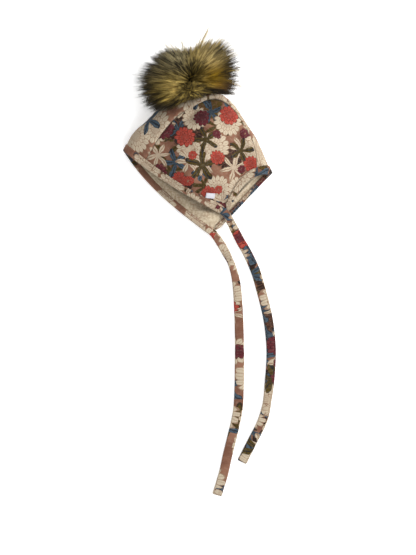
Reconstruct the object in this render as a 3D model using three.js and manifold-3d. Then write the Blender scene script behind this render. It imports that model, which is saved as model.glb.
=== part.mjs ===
// A baby's soft bonnet with a fur pompom and two long ties, lying on its side.
// Printed jersey outside, cream fleece inside, bound edges. Millimetres, +Z up, floor at z = 0.
// Each wall follows one soft surface: rays run from the chin corner over the folded crown
// and back to the chin corner of the layer below, and an offset along the normal gives the cloth.
import * as THREE from "three";
import { mergeVertices } from "three/addons/utils/BufferGeometryUtils.js";
import Module from "manifold-3d";

const wasm = await Module();
wasm.setup();

// Driving dimensions
const NEAR_CHIN = { face: [25.6, -96.5], neck: [37.2, -91] };
const FAR_CHIN = { face: [12.8, -121.6], neck: [23.4, -117.6] };
const CHIN_HEIGHT = 9;
const CROWN_LENGTH = 250; // along the folded crown, from the face edge to the neck edge
const CHIN_LENGTH = 12;
// How far a ray bows towards the face, above and below, at the face edge and at the neck edge
const BOW = { near: [3.6, 6.2], far: [7, 0] };
const FOLD_ROUND = 10; // how far in from the outline the crown fold turns over
const JERSEY = { out: 1.45, in: 0.3 };
const LINING = { out: -0.3, in: -2.1 };
const BINDING = {
  outside: 8.6, inside: 6.5, out: 3.05, slotOut: 2.35, slotIn: -2.9, in: -3.65, lip: 1.3, slack: 0.3,
};
const MITRE = { face: 0.66, neck: 0.28 }; // the share of the chin's line that each binding may take
const THICK_EDGE = 15; // how far in from an edge the bindings hold the lower layer off the surface
const SQUARE_SHARE = 0.12; // over this share of a ray the bindings turn from square to the chin's line
const SEAM_GAP = 0.2; // each side of a seam
const CLEAR = 0.6; // between the pompom and the cloth
const TIE = { wide: 11.5, thick: 3, rest: 1.55 };
const TIE_STEP = 1.2; // the length of one step of a tie, in widths
const LABEL = { s: 0.288, v: -0.86, turn: -13, wide: 10.8, tall: 6.8, thick: 0.8, above: 1 };
const POMPOM = { at: [-13, 66, 43], reach: [61, 44, 43], head: 0.83, locks: 60, foot: 12, root: 0.45 };
const TUFT = { toward: [0.42, 0.88, 0.2], reach: 62.5, foot: 8 };

// One row for each ray from the chin, from the face edge to the neck edge. foldX, foldY: the outline
// that it turns over. rim: the height of the turn. past, high, low, hem: heights of the upper layer on
// the way to the chin. seamNear, seamFar: from the outline to the seam, above and below.
const RAYS = [
  { foldX: -86.4, foldY: -24, rim: 10.5, past: 19, high: 23, low: 23, hem: 17, seamNear: 27, seamFar: 38 },
  { foldX: -77.5, foldY: -5.5, rim: 11, past: 21, high: 28, low: 28, hem: 19, seamNear: 30, seamFar: 40 },
  { foldX: -59, foldY: 12.5, rim: 11.5, past: 24, high: 33, low: 34, hem: 21, seamNear: 25, seamFar: 44 },
  { foldX: -36, foldY: 32.5, rim: 12, past: 26, high: 37, low: 38, hem: 23, seamNear: 22, seamFar: 48 },
  { foldX: -9, foldY: 43.5, rim: 12, past: 27, high: 39, low: 40, hem: 24, seamNear: 15, seamFar: 54 },
  { foldX: 17.5, foldY: 44.5, rim: 12, past: 27, high: 38, low: 40, hem: 24, seamNear: 8, seamFar: 58 },
  { foldX: 39, foldY: 33.5, rim: 12, past: 25, high: 35, low: 37, hem: 23, seamNear: 4.5, seamFar: 58 },
  { foldX: 56.5, foldY: 9.5, rim: 11.5, past: 22, high: 31, low: 32, hem: 21, seamNear: 3, seamFar: 54 },
  { foldX: 72.5, foldY: -17, rim: 11, past: 20, high: 25, low: 25, hem: 18, seamNear: 5, seamFar: 48 },
  { foldX: 86.6, foldY: -51, rim: 11.3, past: 20, high: 20, low: 18, hem: 14, seamNear: 13, seamFar: 40 },
];
const HEIGHT_KNOTS = [0, 0.3, 0.6, 0.85, 1]; // where past, high, low, hem and the chin height hold
const FOLD_SHARE = 0.2; // the share of a ray's parameter that goes over the fold

// Soft valleys (lift below 0) and ridges of the upper layer: a line from one point to another
const FOLDS = [
  { fromX: -44, fromY: -14, toX: -8, toY: 22, wide: 11, lift: -3 },
  { fromX: 30, fromY: -72, toX: 64, toY: -22, wide: 14, lift: -5 },
  { fromX: -4, fromY: 22, toX: 14, toY: 30, wide: 9, lift: -4 },
  { fromX: 4, fromY: 4, toX: 34, toY: 12, wide: 13, lift: 2 },
  { fromX: -22, fromY: -34, toX: 12, toY: -62, wide: 14, lift: 2 },
];

// The crown panel stands proud of the side panel along the seam, most at the crown
const PUFF = { most: 3.2, at: 0.44, wide: 0.24, reach: 0.12 };

// Plan points that each tie's middle line passes through, with its height
const NEAR_TIE = [
  { x: 32.5, y: -96.4, z: 9 },
  { x: 35.8, y: -102.1, z: 9.4 },
  { x: 41.6, y: -112.1, z: 9.2 },
  { x: 46.6, y: -122, z: 7 },
  { x: 51.5, y: -132, z: 4.2 },
  { x: 58.5, y: -143.9, z: 2.2 },
  { x: 69.5, y: -167.8, z: TIE.rest },
  { x: 77, y: -193.7, z: TIE.rest },
  { x: 83.4, y: -219.5, z: TIE.rest },
  { x: 87.2, y: -246, z: TIE.rest },
  { x: 88.2, y: -268, z: TIE.rest },
  { x: 86.2, y: -300.2, z: TIE.rest },
  { x: 82, y: -331.8, z: TIE.rest },
  { x: 77.2, y: -348.4, z: TIE.rest },
  { x: 64.8, y: -373.2, z: TIE.rest },
  { x: 53.1, y: -396.6, z: TIE.rest },
];
const FAR_TIE = [
  { x: 18.9, y: -121.2, z: 2.75 },
  { x: 22.2, y: -126.4, z: 2.5 },
  { x: 26, y: -132, z: 2.1 },
  { x: 34.6, y: -146.6, z: TIE.rest },
  { x: 41, y: -160, z: TIE.rest },
  { x: 46, y: -179.4, z: TIE.rest },
  { x: 49, y: -214.2, z: TIE.rest },
  { x: 50.2, y: -258, z: TIE.rest },
  { x: 49.8, y: -306.6, z: TIE.rest },
  { x: 48.2, y: -334.2, z: TIE.rest },
  { x: 44, y: -355.2, z: TIE.rest },
  { x: 35.4, y: -390.4, z: TIE.rest },
  { x: 31.4, y: -408.6, z: TIE.rest },
  { x: 23.2, y: -436.2, z: TIE.rest },
];

const COLOURS = {
  print: 0xa98a72,
  fleece: 0xd9cfb8,
  binding: 0x9c7a63,
  label: 0xe9e6e2,
  fur: 0x6f6238,
};

const smooth = (x) => {
  const c = Math.min(1, Math.max(0, x));
  return c * c * (3 - 2 * c);
};

// A Catmull-Rom value between four in a row
const between = (a, b, c, d, f) =>
  b + 0.5 * f * (c - a + f * (2 * a - 5 * b + 4 * c - d + f * (3 * (b - c) + d - a)));

// A column of RAYS at s, from 0 at the face edge to 1 at the neck edge
function ray(column, s) {
  const x = s * (RAYS.length - 1);
  const i = Math.min(RAYS.length - 2, Math.max(0, Math.floor(x)));
  const b = RAYS[i][column];
  const c = RAYS[i + 1][column];
  const a = i > 0 ? RAYS[i - 1][column] : 2 * b - c;
  const d = i < RAYS.length - 2 ? RAYS[i + 2][column] : 2 * c - b;
  return between(a, b, c, d, x - i);
}

// A value that passes through each of HEIGHT_KNOTS, with level ends
function alongKnots(values, share) {
  const last = HEIGHT_KNOTS.length - 1;
  let i = 0;
  while (i < last - 1 && share > HEIGHT_KNOTS[i + 1]) i += 1;
  const wide = HEIGHT_KNOTS[i + 1] - HEIGHT_KNOTS[i];
  const slope = (k) => {
    if (k === 0) return (values[1] - values[0]) / HEIGHT_KNOTS[1];
    if (k === last) return (values[last] - values[last - 1]) / (1 - HEIGHT_KNOTS[last - 1]);
    return (values[k + 1] - values[k - 1]) / (HEIGHT_KNOTS[k + 1] - HEIGHT_KNOTS[k - 1]);
  };
  const f = Math.min(1, Math.max(0, (share - HEIGHT_KNOTS[i]) / wide));
  const hermite = new THREE.Vector4(
    2 * f ** 3 - 3 * f ** 2 + 1,
    f ** 3 - 2 * f ** 2 + f,
    3 * f ** 2 - 2 * f ** 3,
    f ** 3 - f ** 2,
  );
  const ends = new THREE.Vector4(values[i], wide * slope(i), values[i + 1], wide * slope(i + 1));
  return hermite.dot(ends);
}

function foldLift(x, y) {
  return FOLDS.reduce((sum, fold) => {
    const dx = fold.toX - fold.fromX;
    const dy = fold.toY - fold.fromY;
    const f = ((x - fold.fromX) * dx + (y - fold.fromY) * dy) / (dx * dx + dy * dy);
    const c = Math.min(1, Math.max(0, f));
    const away = Math.hypot(x - fold.fromX - c * dx, y - fold.fromY - c * dy);
    return sum + fold.lift * Math.exp(-((away / fold.wide) ** 2));
  }, 0);
}

const mix = (a, b, f) => a + (b - a) * f;

// A ray's way in plan from the outline to its own point of the chin
function rayPlan(s, near) {
  const { face, neck } = near ? NEAR_CHIN : FAR_CHIN;
  const dx = mix(face[0], neck[0], s) - ray("foldX", s);
  const dy = mix(face[1], neck[1], s) - ray("foldY", s);
  return { dx, dy, long: Math.hypot(dx, dy) };
}

// The parameter at a distance from the outline
function shareAt(s, near, distance) {
  const { long } = rayPlan(s, near);
  if (distance < FOLD_ROUND) {
    return (FOLD_SHARE * Math.acos(1 - distance / FOLD_ROUND)) / (Math.PI / 2);
  }
  return FOLD_SHARE + ((1 - FOLD_SHARE) * (distance - FOLD_ROUND)) / (long - FOLD_ROUND);
}

// How wide the cloth is from the face edge to the neck edge, at a share of the way to the chin
const clothWidth = (share) => mix(CROWN_LENGTH, CHIN_LENGTH, share);

// The middle of the cloth at ray s, with v from -1 at the upper chin to 1 at the lower chin
function cloth(s, v) {
  const near = v < 0;
  const t = Math.abs(v);
  const { dx, dy, long } = rayPlan(s, near);
  const over = (Math.min(1, t / FOLD_SHARE) * Math.PI) / 2;
  const past = (t - FOLD_SHARE) / (1 - FOLD_SHARE);
  const distance = t < FOLD_SHARE ? FOLD_ROUND * (1 - Math.cos(over)) : mix(FOLD_ROUND, long, past);
  const share = distance / long;
  const bow = mix(...(near ? BOW.near : BOW.far), s) * Math.sin(Math.PI * share ** 0.8);
  const x = ray("foldX", s) + dx * share + (dy / long) * bow;
  const y = ray("foldY", s) + dy * share - (dx / long) * bow;
  const rim = ray("rim", s);
  const layer = near ? upperHeight(s, share, distance, x, y) : lowerHeight(s, share, distance, long);
  return new THREE.Vector3(x, y, mix(rim, layer, Math.sin(over)));
}

function upperHeight(s, share, distance, x, y) {
  const heights = [...["past", "high", "low", "hem"].map((column) => ray(column, s)), CHIN_HEIGHT];
  return alongKnots(heights, share) + foldLift(x, y) * smooth((distance - 6) / 14);
}

// The lower layer lies flat, a little higher where the thicker bindings hold it off the surface
function lowerHeight(s, share, distance, long) {
  const fromEdge = Math.min(s, 1 - s) * clothWidth(share);
  const inside = smooth((Math.min(fromEdge, long - distance) - THICK_EDGE) / 14);
  return mix(BINDING.out, JERSEY.out, inside);
}

// The surface's own directions at a point, and its outward normal
function frameAt(s, v) {
  const e = 1e-3;
  const towardNeck = cloth(s + e, v).sub(cloth(s - e, v)).divideScalar(2 * e);
  const low = Math.max(-1, v - e);
  const high = Math.min(1, v + e);
  const alongRay = cloth(s, high).sub(cloth(s, low)).divideScalar(high - low);
  const normal = towardNeck.clone().cross(alongRay).normalize();
  return { point: cloth(s, v), towardNeck, alongRay, normal };
}

function offset(s, v, height) {
  const { point, normal } = frameAt(s, v);
  return point.addScaledVector(normal, height);
}

// The change of s and v for each millimetre in from an edge ray. The way in is square to the edge,
// and turns to follow the chin's own line at the chin.
function wayIn(s, v) {
  const { towardNeck, alongRay } = frameAt(s, v);
  const [a, b, c] = [towardNeck.lengthSq(), towardNeck.dot(alongRay), alongRay.lengthSq()];
  const inward = s > 0.5 ? -1 : 1;
  const square = smooth((1 - Math.abs(v)) / SQUARE_SHARE);
  const acrossRay = Math.sqrt(a - (b * b) / c);
  return {
    ds: mix(1 / Math.sqrt(a), 1 / acrossRay, square) * inward,
    dv: square * (-b / (c * acrossRay)) * inward,
  };
}

// A point that is `distance` in from an edge ray and `height` off the cloth
function inFrom(s, v, distance, height) {
  const { ds, dv } = wayIn(s, v);
  return offset(s + ds * distance, v + dv * distance, height);
}

// A closed solid from rings of points, each ring round the section. caps: the triangles of an end.
function loft(rings, caps) {
  const n = rings[0].length;
  const faces = [];
  for (let i = 0; i < rings.length - 1; i += 1) {
    for (let k = 0; k < n; k += 1) {
      const a = i * n + k;
      const b = i * n + ((k + 1) % n);
      faces.push([a, b, b + n], [a, b + n, a + n]);
    }
  }
  const last = (rings.length - 1) * n;
  caps.forEach(([a, b, c]) => faces.push([c, b, a], [last + a, last + b, last + c]));
  return solid(rings.flat(), faces);
}

// Triangles that cap a ring, found in the plane that the ring lies nearest
function capsOf(ring) {
  const middle = ring.reduce((sum, p) => sum.add(p), new THREE.Vector3()).divideScalar(ring.length);
  const normal = new THREE.Vector3();
  ring.forEach((p, k) => {
    const q = ring[(k + 1) % ring.length];
    normal.add(p.clone().sub(middle).cross(q.clone().sub(middle)));
  });
  const right = ring[0].clone().sub(middle);
  right.addScaledVector(normal, -right.dot(normal) / normal.lengthSq()).normalize();
  const up = normal.normalize().cross(right);
  return THREE.ShapeUtils.triangulateShape(
    ring.map((p) => new THREE.Vector2(p.dot(right), p.dot(up))),
    [],
  );
}

// A wall between an outer and an inner grid of points, closed round its rim
function wall(outer, inner) {
  const rows = outer.length;
  const columns = outer[0].length;
  const half = rows * columns;
  const at = (i, k) => i * columns + k;
  const faces = [];
  const quad = (a, b, c, d) => faces.push([a, b, c], [a, c, d]);
  for (let i = 0; i < rows - 1; i += 1) {
    for (let k = 0; k < columns - 1; k += 1) {
      const [a, b, c, d] = [at(i, k), at(i + 1, k), at(i + 1, k + 1), at(i, k + 1)];
      quad(a, b, c, d);
      faces.push([half + a, half + c, half + b], [half + a, half + d, half + c]);
    }
  }
  const rim = [];
  for (let i = 0; i < rows - 1; i += 1) rim.push(at(i, 0));
  for (let k = 0; k < columns - 1; k += 1) rim.push(at(rows - 1, k));
  for (let i = rows - 1; i > 0; i -= 1) rim.push(at(i, columns - 1));
  for (let k = columns - 1; k > 0; k -= 1) rim.push(at(0, k));
  rim.forEach((a, k) => {
    const b = rim[(k + 1) % rim.length];
    quad(b, a, half + a, half + b);
  });
  return solid([...outer.flat(), ...inner.flat()], faces);
}

function solid(points, faces) {
  const geometry = new THREE.BufferGeometry().setFromPoints(points);
  geometry.setIndex(faces.flat());
  return geometry;
}

function manifoldOf(geometry) {
  const bare = new THREE.BufferGeometry().setAttribute("position", geometry.getAttribute("position").clone());
  bare.setIndex(geometry.index);
  const merged = mergeVertices(bare, 1e-4);
  return new wasm.Manifold(
    new wasm.Mesh({
      numProp: 3,
      vertProperties: merged.attributes.position.array,
      triVerts: new Uint32Array(merged.index.array),
    }),
  );
}

function geometryOf(manifold) {
  const { numVert, numProp, vertProperties, triVerts } = manifold.getMesh();
  const points = Array.from(
    { length: numVert },
    (_, i) => new THREE.Vector3(...vertProperties.subarray(i * numProp, i * numProp + 3)),
  );
  const geometry = new THREE.BufferGeometry().setFromPoints(points);
  geometry.setIndex(new THREE.BufferAttribute(triVerts, 1));
  return geometry;
}

const steps = (count, make) => Array.from({ length: count + 1 }, (_, i) => make(i / count));

// Where the grid of each panel has its lines, closest at the bindings and over the fold
const RAY_SHARES = [
  0, 0.02, 0.045, 0.08, 0.13, 0.19, 0.26, 0.33, 0.4, 0.47,
  0.54, 0.61, 0.68, 0.75, 0.81, 0.87, 0.92, 0.955, 0.98, 1,
];
const UPPER_SHARES = [0, 0.06, 0.13, 0.22, 0.32, 0.43, 0.54, 0.65, 0.75, 0.83, 0.89, 0.93, 0.97, 1];
const LOWER_SHARES = [0, 0.1, 0.25, 0.45, 0.65, 0.83, 0.93, 1];
const CROWN_STEPS = 15;

// The parameters across each panel at ray s: from the seam to the chin, or from seam to seam
const upperPanel = (s) => {
  const seam = shareAt(s, true, ray("seamNear", s) + SEAM_GAP);
  return UPPER_SHARES.map((f) => -mix(seam, 1, f)).reverse();
};
const lowerPanel = (s) => {
  const seam = shareAt(s, false, ray("seamFar", s) + SEAM_GAP);
  return LOWER_SHARES.map((f) => mix(seam, 1, f));
};
const crownPanel = (s) => {
  const from = -shareAt(s, true, ray("seamNear", s) - SEAM_GAP);
  const to = shareAt(s, false, ray("seamFar", s) - SEAM_GAP);
  return steps(CROWN_STEPS, (f) => mix(from, to, f));
};

function puffAt(s, v) {
  const fromSeam = Math.abs(v + shareAt(s, true, ray("seamNear", s)));
  const along = Math.exp(-(((s - PUFF.at) / PUFF.wide) ** 2));
  return PUFF.most * along * (1 - smooth(fromSeam / PUFF.reach)) * smooth(s / 0.08);
}

function panel(across, thickness, puff = () => 0) {
  const grid = (height) =>
    RAY_SHARES.map((s) => across(s).map((v) => offset(s, v, height + puff(s, v))));
  return wall(grid(thickness.out), grid(thickness.in));
}

const wholeWidth = (s) => [...upperPanel(s), ...crownPanel(s), ...lowerPanel(s)];

// The triangles of a binding's section: its outer leaf, its lip and its inner leaf
const BINDING_CAPS = [
  [0, 1, 2], [0, 2, 9], [9, 2, 3], [9, 3, 4], [9, 4, 8], [8, 4, 5], [8, 5, 6], [8, 6, 7],
];

// A folded binding round an edge, with a slot that takes the cloth. It narrows to a mitre at the chin.
function binding(s) {
  const ring = (v) => {
    const widest = (s > 0.5 ? MITRE.neck : MITRE.face) / Math.abs(wayIn(s, v).ds);
    const outside = Math.min(BINDING.outside, widest);
    const inside = Math.min(BINDING.inside, widest);
    return [
      [outside, BINDING.slotOut],
      [outside, BINDING.out],
      [0.4, BINDING.out],
      [-BINDING.lip, BINDING.slotOut - 0.5],
      [-BINDING.lip, BINDING.slotIn + 0.5],
      [0.4, BINDING.in],
      [inside, BINDING.in],
      [inside, BINDING.slotIn],
      [-BINDING.slack, BINDING.slotIn],
      [-BINDING.slack, BINDING.slotOut],
    ].map(([distance, height]) => inFrom(s, v, distance, height));
  };
  const rings = wholeWidth(s).map(ring);
  return loft(s > 0.5 ? rings : rings.reverse(), BINDING_CAPS);
}

// A flat strap with soft edges along a free path
function strap(rows) {
  const path = new THREE.CatmullRomCurve3(
    rows.map(({ x, y, z }) => new THREE.Vector3(x, y, z)),
    false,
    "centripetal",
  );
  const [t, w] = [TIE.thick / 2, TIE.wide / 2];
  const section = new THREE.Shape(
    [
      [t * 0.5, w],
      [-t * 0.5, w],
      [-t, w - t],
      [-t, t - w],
      [-t * 0.5, -w],
      [t * 0.5, -w],
      [t, t - w],
      [t, w - t],
    ].map(([x, y]) => new THREE.Vector2(x, y)),
  );
  const count = Math.round(path.getLength() / (TIE.wide * TIE_STEP));
  return new THREE.ExtrudeGeometry(section, { steps: count, bevelEnabled: false, extrudePath: path });
}

// A woven label that lies on the upper side panel beside the face binding, turned in plan
function label() {
  const { point, normal } = frameAt(LABEL.s, LABEL.v);
  const turn = THREE.MathUtils.degToRad(LABEL.turn);
  const right = new THREE.Vector3(Math.cos(turn), Math.sin(turn), 0);
  right.addScaledVector(normal, -right.dot(normal)).normalize();
  const up = normal.clone().cross(right);
  const middle = point.addScaledVector(normal, JERSEY.out + LABEL.above);
  const basis = new THREE.Matrix4().makeBasis(right, up, normal).setPosition(middle);
  return new THREE.BoxGeometry(LABEL.wide, LABEL.tall, LABEL.thick).applyMatrix4(basis);
}

// The whole room that the bonnet takes, its openings closed, a little larger than its cloth
function envelope(height) {
  const ring = (s) => wholeWidth(s).map((v) => offset(s, v, height + puffAt(s, v)));
  const rings = RAY_SHARES.map(ring).reverse();
  return manifoldOf(loft(rings, capsOf(rings[0])));
}

// A lock of fur: a cone with a blunt foot inside the head, from its root to its tip
function lock(root, tip, foot) {
  const toward = tip.clone().sub(root);
  const up = new THREE.Vector3(0, 0, 1);
  const turn = new THREE.Quaternion().setFromUnitVectors(up, toward.clone().normalize());
  const sides = 5;
  const profile = [
    { share: 0, size: 1 },
    { share: 0.7, size: 0.72 },
    { share: 1, size: 0.2 },
  ];
  const rings = profile.map(({ share, size }) =>
    Array.from({ length: sides }, (_, k) => {
      const angle = (2 * Math.PI * k) / sides;
      const round = new THREE.Vector3(Math.cos(angle), Math.sin(angle), 0).multiplyScalar(foot * size);
      return round.applyQuaternion(turn).add(root).addScaledVector(toward, share);
    }),
  );
  const caps = steps(sides - 3, (f) => f * (sides - 3)).map((k) => [0, k + 1, k + 2]);
  return manifoldOf(loft(rings, caps));
}

// Directions spread evenly over a ball
function evenDirection(i, count) {
  const up = 1 - (2 * (i + 0.5)) / count;
  const angle = i * Math.PI * (3 - Math.sqrt(5));
  const flat = Math.sqrt(1 - up * up);
  return new THREE.Vector3(Math.cos(angle) * flat, Math.sin(angle) * flat, up);
}

// The fur ball: a head with a lock in each direction, cut clear of the bonnet and of the floor
function pompom() {
  const middle = new THREE.Vector3(...POMPOM.at);
  const reach = new THREE.Vector3(...POMPOM.reach);
  const head = new THREE.IcosahedronGeometry(POMPOM.head, 2);
  head.scale(...POMPOM.reach).translate(...POMPOM.at);
  let ball = manifoldOf(head);
  for (let i = 0; i < POMPOM.locks; i += 1) {
    const spoke = evenDirection(i, POMPOM.locks).multiply(reach);
    const uneven = 1 + 0.05 * Math.sin(i * 2.4);
    const tip = spoke.clone().multiplyScalar(uneven).add(middle);
    const root = spoke.clone().multiplyScalar(POMPOM.root).add(middle);
    ball = ball.add(lock(root, tip, POMPOM.foot));
  }
  const tuft = new THREE.Vector3(...TUFT.toward).normalize().multiplyScalar(TUFT.reach).add(middle);
  ball = ball.add(lock(middle, tuft, TUFT.foot));
  const floor = new THREE.BoxGeometry(300, 300, 100).translate(0, 60, -50);
  ball = ball.subtract(manifoldOf(floor)).subtract(envelope(JERSEY.out + CLEAR));
  const bodies = ball.decompose();
  bodies.sort((a, b) => b.volume() - a.volume());
  return geometryOf(bodies[0]);
}

const bonnet = new THREE.Group();

function add(name, geometry, color, roughness) {
  const material = new THREE.MeshStandardMaterial({ color, roughness, metalness: 0 });
  const mesh = new THREE.Mesh(geometry, material);
  mesh.name = name;
  bonnet.add(mesh);
}

add("side_panel_upper", panel(upperPanel, JERSEY), COLOURS.print, 0.9);
add("side_panel_lower", panel(lowerPanel, JERSEY), COLOURS.print, 0.9);
add("crown_panel", panel(crownPanel, JERSEY, puffAt), COLOURS.print, 0.9);
add("lining", panel(wholeWidth, LINING), COLOURS.fleece, 1);
add("face_binding", binding(0), COLOURS.binding, 0.9);
add("neck_binding", binding(1), COLOURS.binding, 0.9);
add("tie_upper", strap(NEAR_TIE), COLOURS.binding, 0.9);
add("tie_lower", strap(FAR_TIE), COLOURS.binding, 0.9);
add("label", label(), COLOURS.label, 0.7);
add("pompom", pompom(), COLOURS.fur, 1);

export default bonnet;
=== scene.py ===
"""A baby's soft bonnet with a fur pompom and two ties, lying on its side.

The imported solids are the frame. Each operator makes one piece, or a group of like pieces, around them:
printed jersey panels, fleece lining, folded bindings with their stitches, ties, a label and the fur.
The cloth follows the same soft surface as the solids, in millimetres, and each mesh is written in metres.
"""

import math

import bmesh
import bpy
import numpy as np
from bpy.props import FloatProperty, FloatVectorProperty, IntProperty, PointerProperty
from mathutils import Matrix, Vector
from mathutils.bvhtree import BVHTree


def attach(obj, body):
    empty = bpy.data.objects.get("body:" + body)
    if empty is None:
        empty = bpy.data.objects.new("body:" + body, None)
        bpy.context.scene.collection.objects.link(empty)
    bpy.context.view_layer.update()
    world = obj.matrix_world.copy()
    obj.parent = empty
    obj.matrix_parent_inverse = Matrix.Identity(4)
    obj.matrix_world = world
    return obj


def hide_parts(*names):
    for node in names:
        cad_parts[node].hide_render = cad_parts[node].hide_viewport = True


bl_info = {
    "name": "Bonnet with a fur pompom",
    "version": (1, 0, 0),
    "blender": (4, 5, 0),
    "location": "3D View > Sidebar > Bonnet",
    "description": "Makes a bonnet's printed jersey, fleece, bindings, ties, label and fur around its solids",
    "category": "Object",
}

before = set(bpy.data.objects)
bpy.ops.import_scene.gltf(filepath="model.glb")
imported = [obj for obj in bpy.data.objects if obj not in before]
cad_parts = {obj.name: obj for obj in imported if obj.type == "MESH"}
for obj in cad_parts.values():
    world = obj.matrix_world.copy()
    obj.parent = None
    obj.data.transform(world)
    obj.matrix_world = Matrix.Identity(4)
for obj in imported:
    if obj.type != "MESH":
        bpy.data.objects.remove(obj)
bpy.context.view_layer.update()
BODY = "root"
MM = 0.001

# The cloth's surface, as the solids have it: sizes in millimetres
NEAR_CHIN = ((25.6, -96.5), (37.2, -91.0))  # at the face edge and at the neck edge
FAR_CHIN = ((12.8, -121.6), (23.4, -117.6))
CHIN_HEIGHT = 9.0
CROWN_LENGTH = 250.0  # the cloth's width from edge to edge at the outline, and at the chin
CHIN_LENGTH = 12.0
NEAR_BOW = (3.6, 10.5)  # how far a ray bows towards the face, at the face edge and at the neck edge
FAR_BOW = (7.0, 0.0)
BOW_POWER = 0.8
FOLD_ROUND = 10.0  # how far in the round outline reaches, and its share of the parameter
FOLD_SHARE = 0.2
FOLDS_START = (6.0, 14.0)  # how far in the folds start, and over what distance they grow
JERSEY_OUT = 1.45  # how far each layer lies out of the middle of the cloth
LINING_OUT = -0.3
BINDING_OUT = 3.05
BINDING_IN = -3.65
BINDING_LIP = 1.3
BINDING_WALL = 0.65
MITRE = {"face": 0.66, "neck": 0.28}  # the share of the chin's line that each binding may take
THICK_EDGE = (15.0, 14.0)  # how wide the thick edge is, and over what distance it thins out
SQUARE_SHARE = 0.12
SEAM_GAP = 0.2
TIE_SLEEVE = 5.6  # how deep a tie is where it takes up the binding's end
TIE_REST = 1.55  # the height of a tie's middle line on the floor
CLOTH_GAP = 0.05  # how far cloth and thread, inner walls and strands of fur keep above the floor
WALL_GAP = 0.02
STRAND_GAP = 0.2

# One row for each ray from the chin, from the face edge to the neck edge
RAY_COLUMNS = ("fold_x", "fold_y", "rim", "past", "high", "low", "hem", "seam_near", "seam_far")
RAY_ROWS = (
    (-86.4, -24.0, 10.5, 19, 23, 23, 17, 27.0, 38),
    (-77.5, -5.5, 11.0, 21, 28, 28, 19, 30.0, 40),
    (-59.0, 12.5, 11.5, 24, 33, 34, 21, 25.0, 44),
    (-36.0, 32.5, 12.0, 26, 37, 38, 23, 22.0, 48),
    (-9.0, 43.5, 12.0, 27, 39, 40, 24, 15.0, 54),
    (17.5, 44.5, 12.0, 27, 38, 40, 24, 8.0, 58),
    (39.0, 33.5, 12.0, 25, 35, 37, 23, 4.5, 58),
    (56.5, 9.5, 11.5, 22, 31, 32, 21, 3.0, 54),
    (72.5, -17.0, 11.0, 20, 25, 25, 18, 5.0, 48),
    (86.6, -51.0, 11.3, 20, 20, 18, 14, 13.0, 40),
)
RAYS = dict(zip(RAY_COLUMNS, np.array(RAY_ROWS).T))
HEIGHT_KNOTS = (0.0, 0.3, 0.6, 0.85, 1.0)

# Soft valleys and ridges of the upper layer, and finer folds over them: from x, from y, to x, to y,
# wide, lift
FOLDS = (
    (-44, -14, -8, 22, 11, -3),
    (30, -72, 64, -22, 14, -5),
    (-4, 22, 14, 30, 9, -4),
    (4, 4, 34, 12, 13, 2),
    (-22, -34, 12, -62, 14, 2),
    (6, -52, 50, -6, 10, -5.0),
    (26, -66, 68, -24, 10, 4.0),
    (-34, -24, 2, -2, 7, -2.0),
    (-8, 14, 22, 27, 7, -3.0),
)
# The puff of the crown panel: its lift, where along the panel it is highest, and how far it reaches
PUFF = {"lift": 3.2, "at": 0.44, "wide": 0.24, "reach": 0.12, "start": 0.08}

# The middle line of each tie: x, y, height
NEAR_TIE = (
    (32.4, -97.3, 8.6), (35.8, -102.3, 8.4), (41.2, -112.1, 8.0), (46.3, -122.0, 6.4),
    (51.5, -132.0, 4.2), (58.5, -143.9, 2.2), (69.5, -167.8, TIE_REST), (77.0, -193.7, TIE_REST),
    (83.4, -219.5, TIE_REST), (87.2, -246.0, TIE_REST), (88.2, -268.0, TIE_REST), (86.2, -300.2, TIE_REST),
    (82.0, -331.8, TIE_REST), (77.2, -348.4, TIE_REST), (64.8, -373.2, TIE_REST), (53.1, -396.6, TIE_REST),
)
FAR_TIE = (
    (18.2, -121.8, 3.0), (22.2, -126.6, 2.6), (26.3, -132.4, 2.1), (34.6, -146.6, TIE_REST),
    (41.0, -160.0, TIE_REST), (46.0, -179.4, TIE_REST), (49.0, -214.2, TIE_REST), (50.2, -258.0, TIE_REST),
    (49.8, -306.6, TIE_REST), (48.2, -334.2, TIE_REST), (44.0, -355.2, TIE_REST), (35.4, -390.4, TIE_REST),
    (31.4, -408.6, TIE_REST), (23.2, -436.2, TIE_REST),
)

# The fur's rim seen from above, at each bearing from its middle: how far the dense fur and the
# wisps beyond it reach, and how dark the tips are
FUR_MIDDLE = (-9.0, 62.0, 43.0)
FUR_RIM = (
    (0, 51, 20, 1.0), (15, 55, 21, 1.0), (30, 57, 24, 1.0), (45, 56, 20, 0.85), (60, 46, 21, 0.4),
    (75, 36, 13, 0.15), (90, 33, 10, 0.1), (105, 33.5, 8, 0.15), (120, 37, 12, 0.3), (135, 45, 11, 0.6),
    (150, 50, 14, 0.85), (165, 52, 17, 1.0), (180, 59, 19, 1.0), (195, 62, 14, 1.0), (210, 63, 12, 1.0),
    (222, 61, 7, 1.0), (237, 47, 4, 0.6), (250, 33, 1, 0.2), (270, 28, 1, 0.2), (290, 27, 1, 0.2),
    (310, 29, 1, 0.3), (324, 32, 2, 0.6), (331, 37, 5, 1.0), (337, 53, 9, 1.0), (345, 56, 15, 1.0),
    (360, 51, 20, 1.0),
)
# The dark parting that the fur spreads from, and patches of other colour: x, y, wide, colour,
# strength, and how much they even out the dark streaks
PARTING = ((-9.5, 44.0), (-7.5, 65.0))
FUR_PATCHES = (
    (-28, 85, 19, "fur_grey", 0.9, 0.0),
    (-50, 68, 15, "fur_grey", 0.5, 0.0),
    (-30, 51, 12, "fur_straw", 1.0, 0.5),
    (23, 62, 18, "fur_mustard", 1.0, 0.4),
    (17, 94, 19, "fur_beige", 1.0, 0.35),
    (34, 47, 9, "fur_russet", 0.8, 0.2),
)
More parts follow.
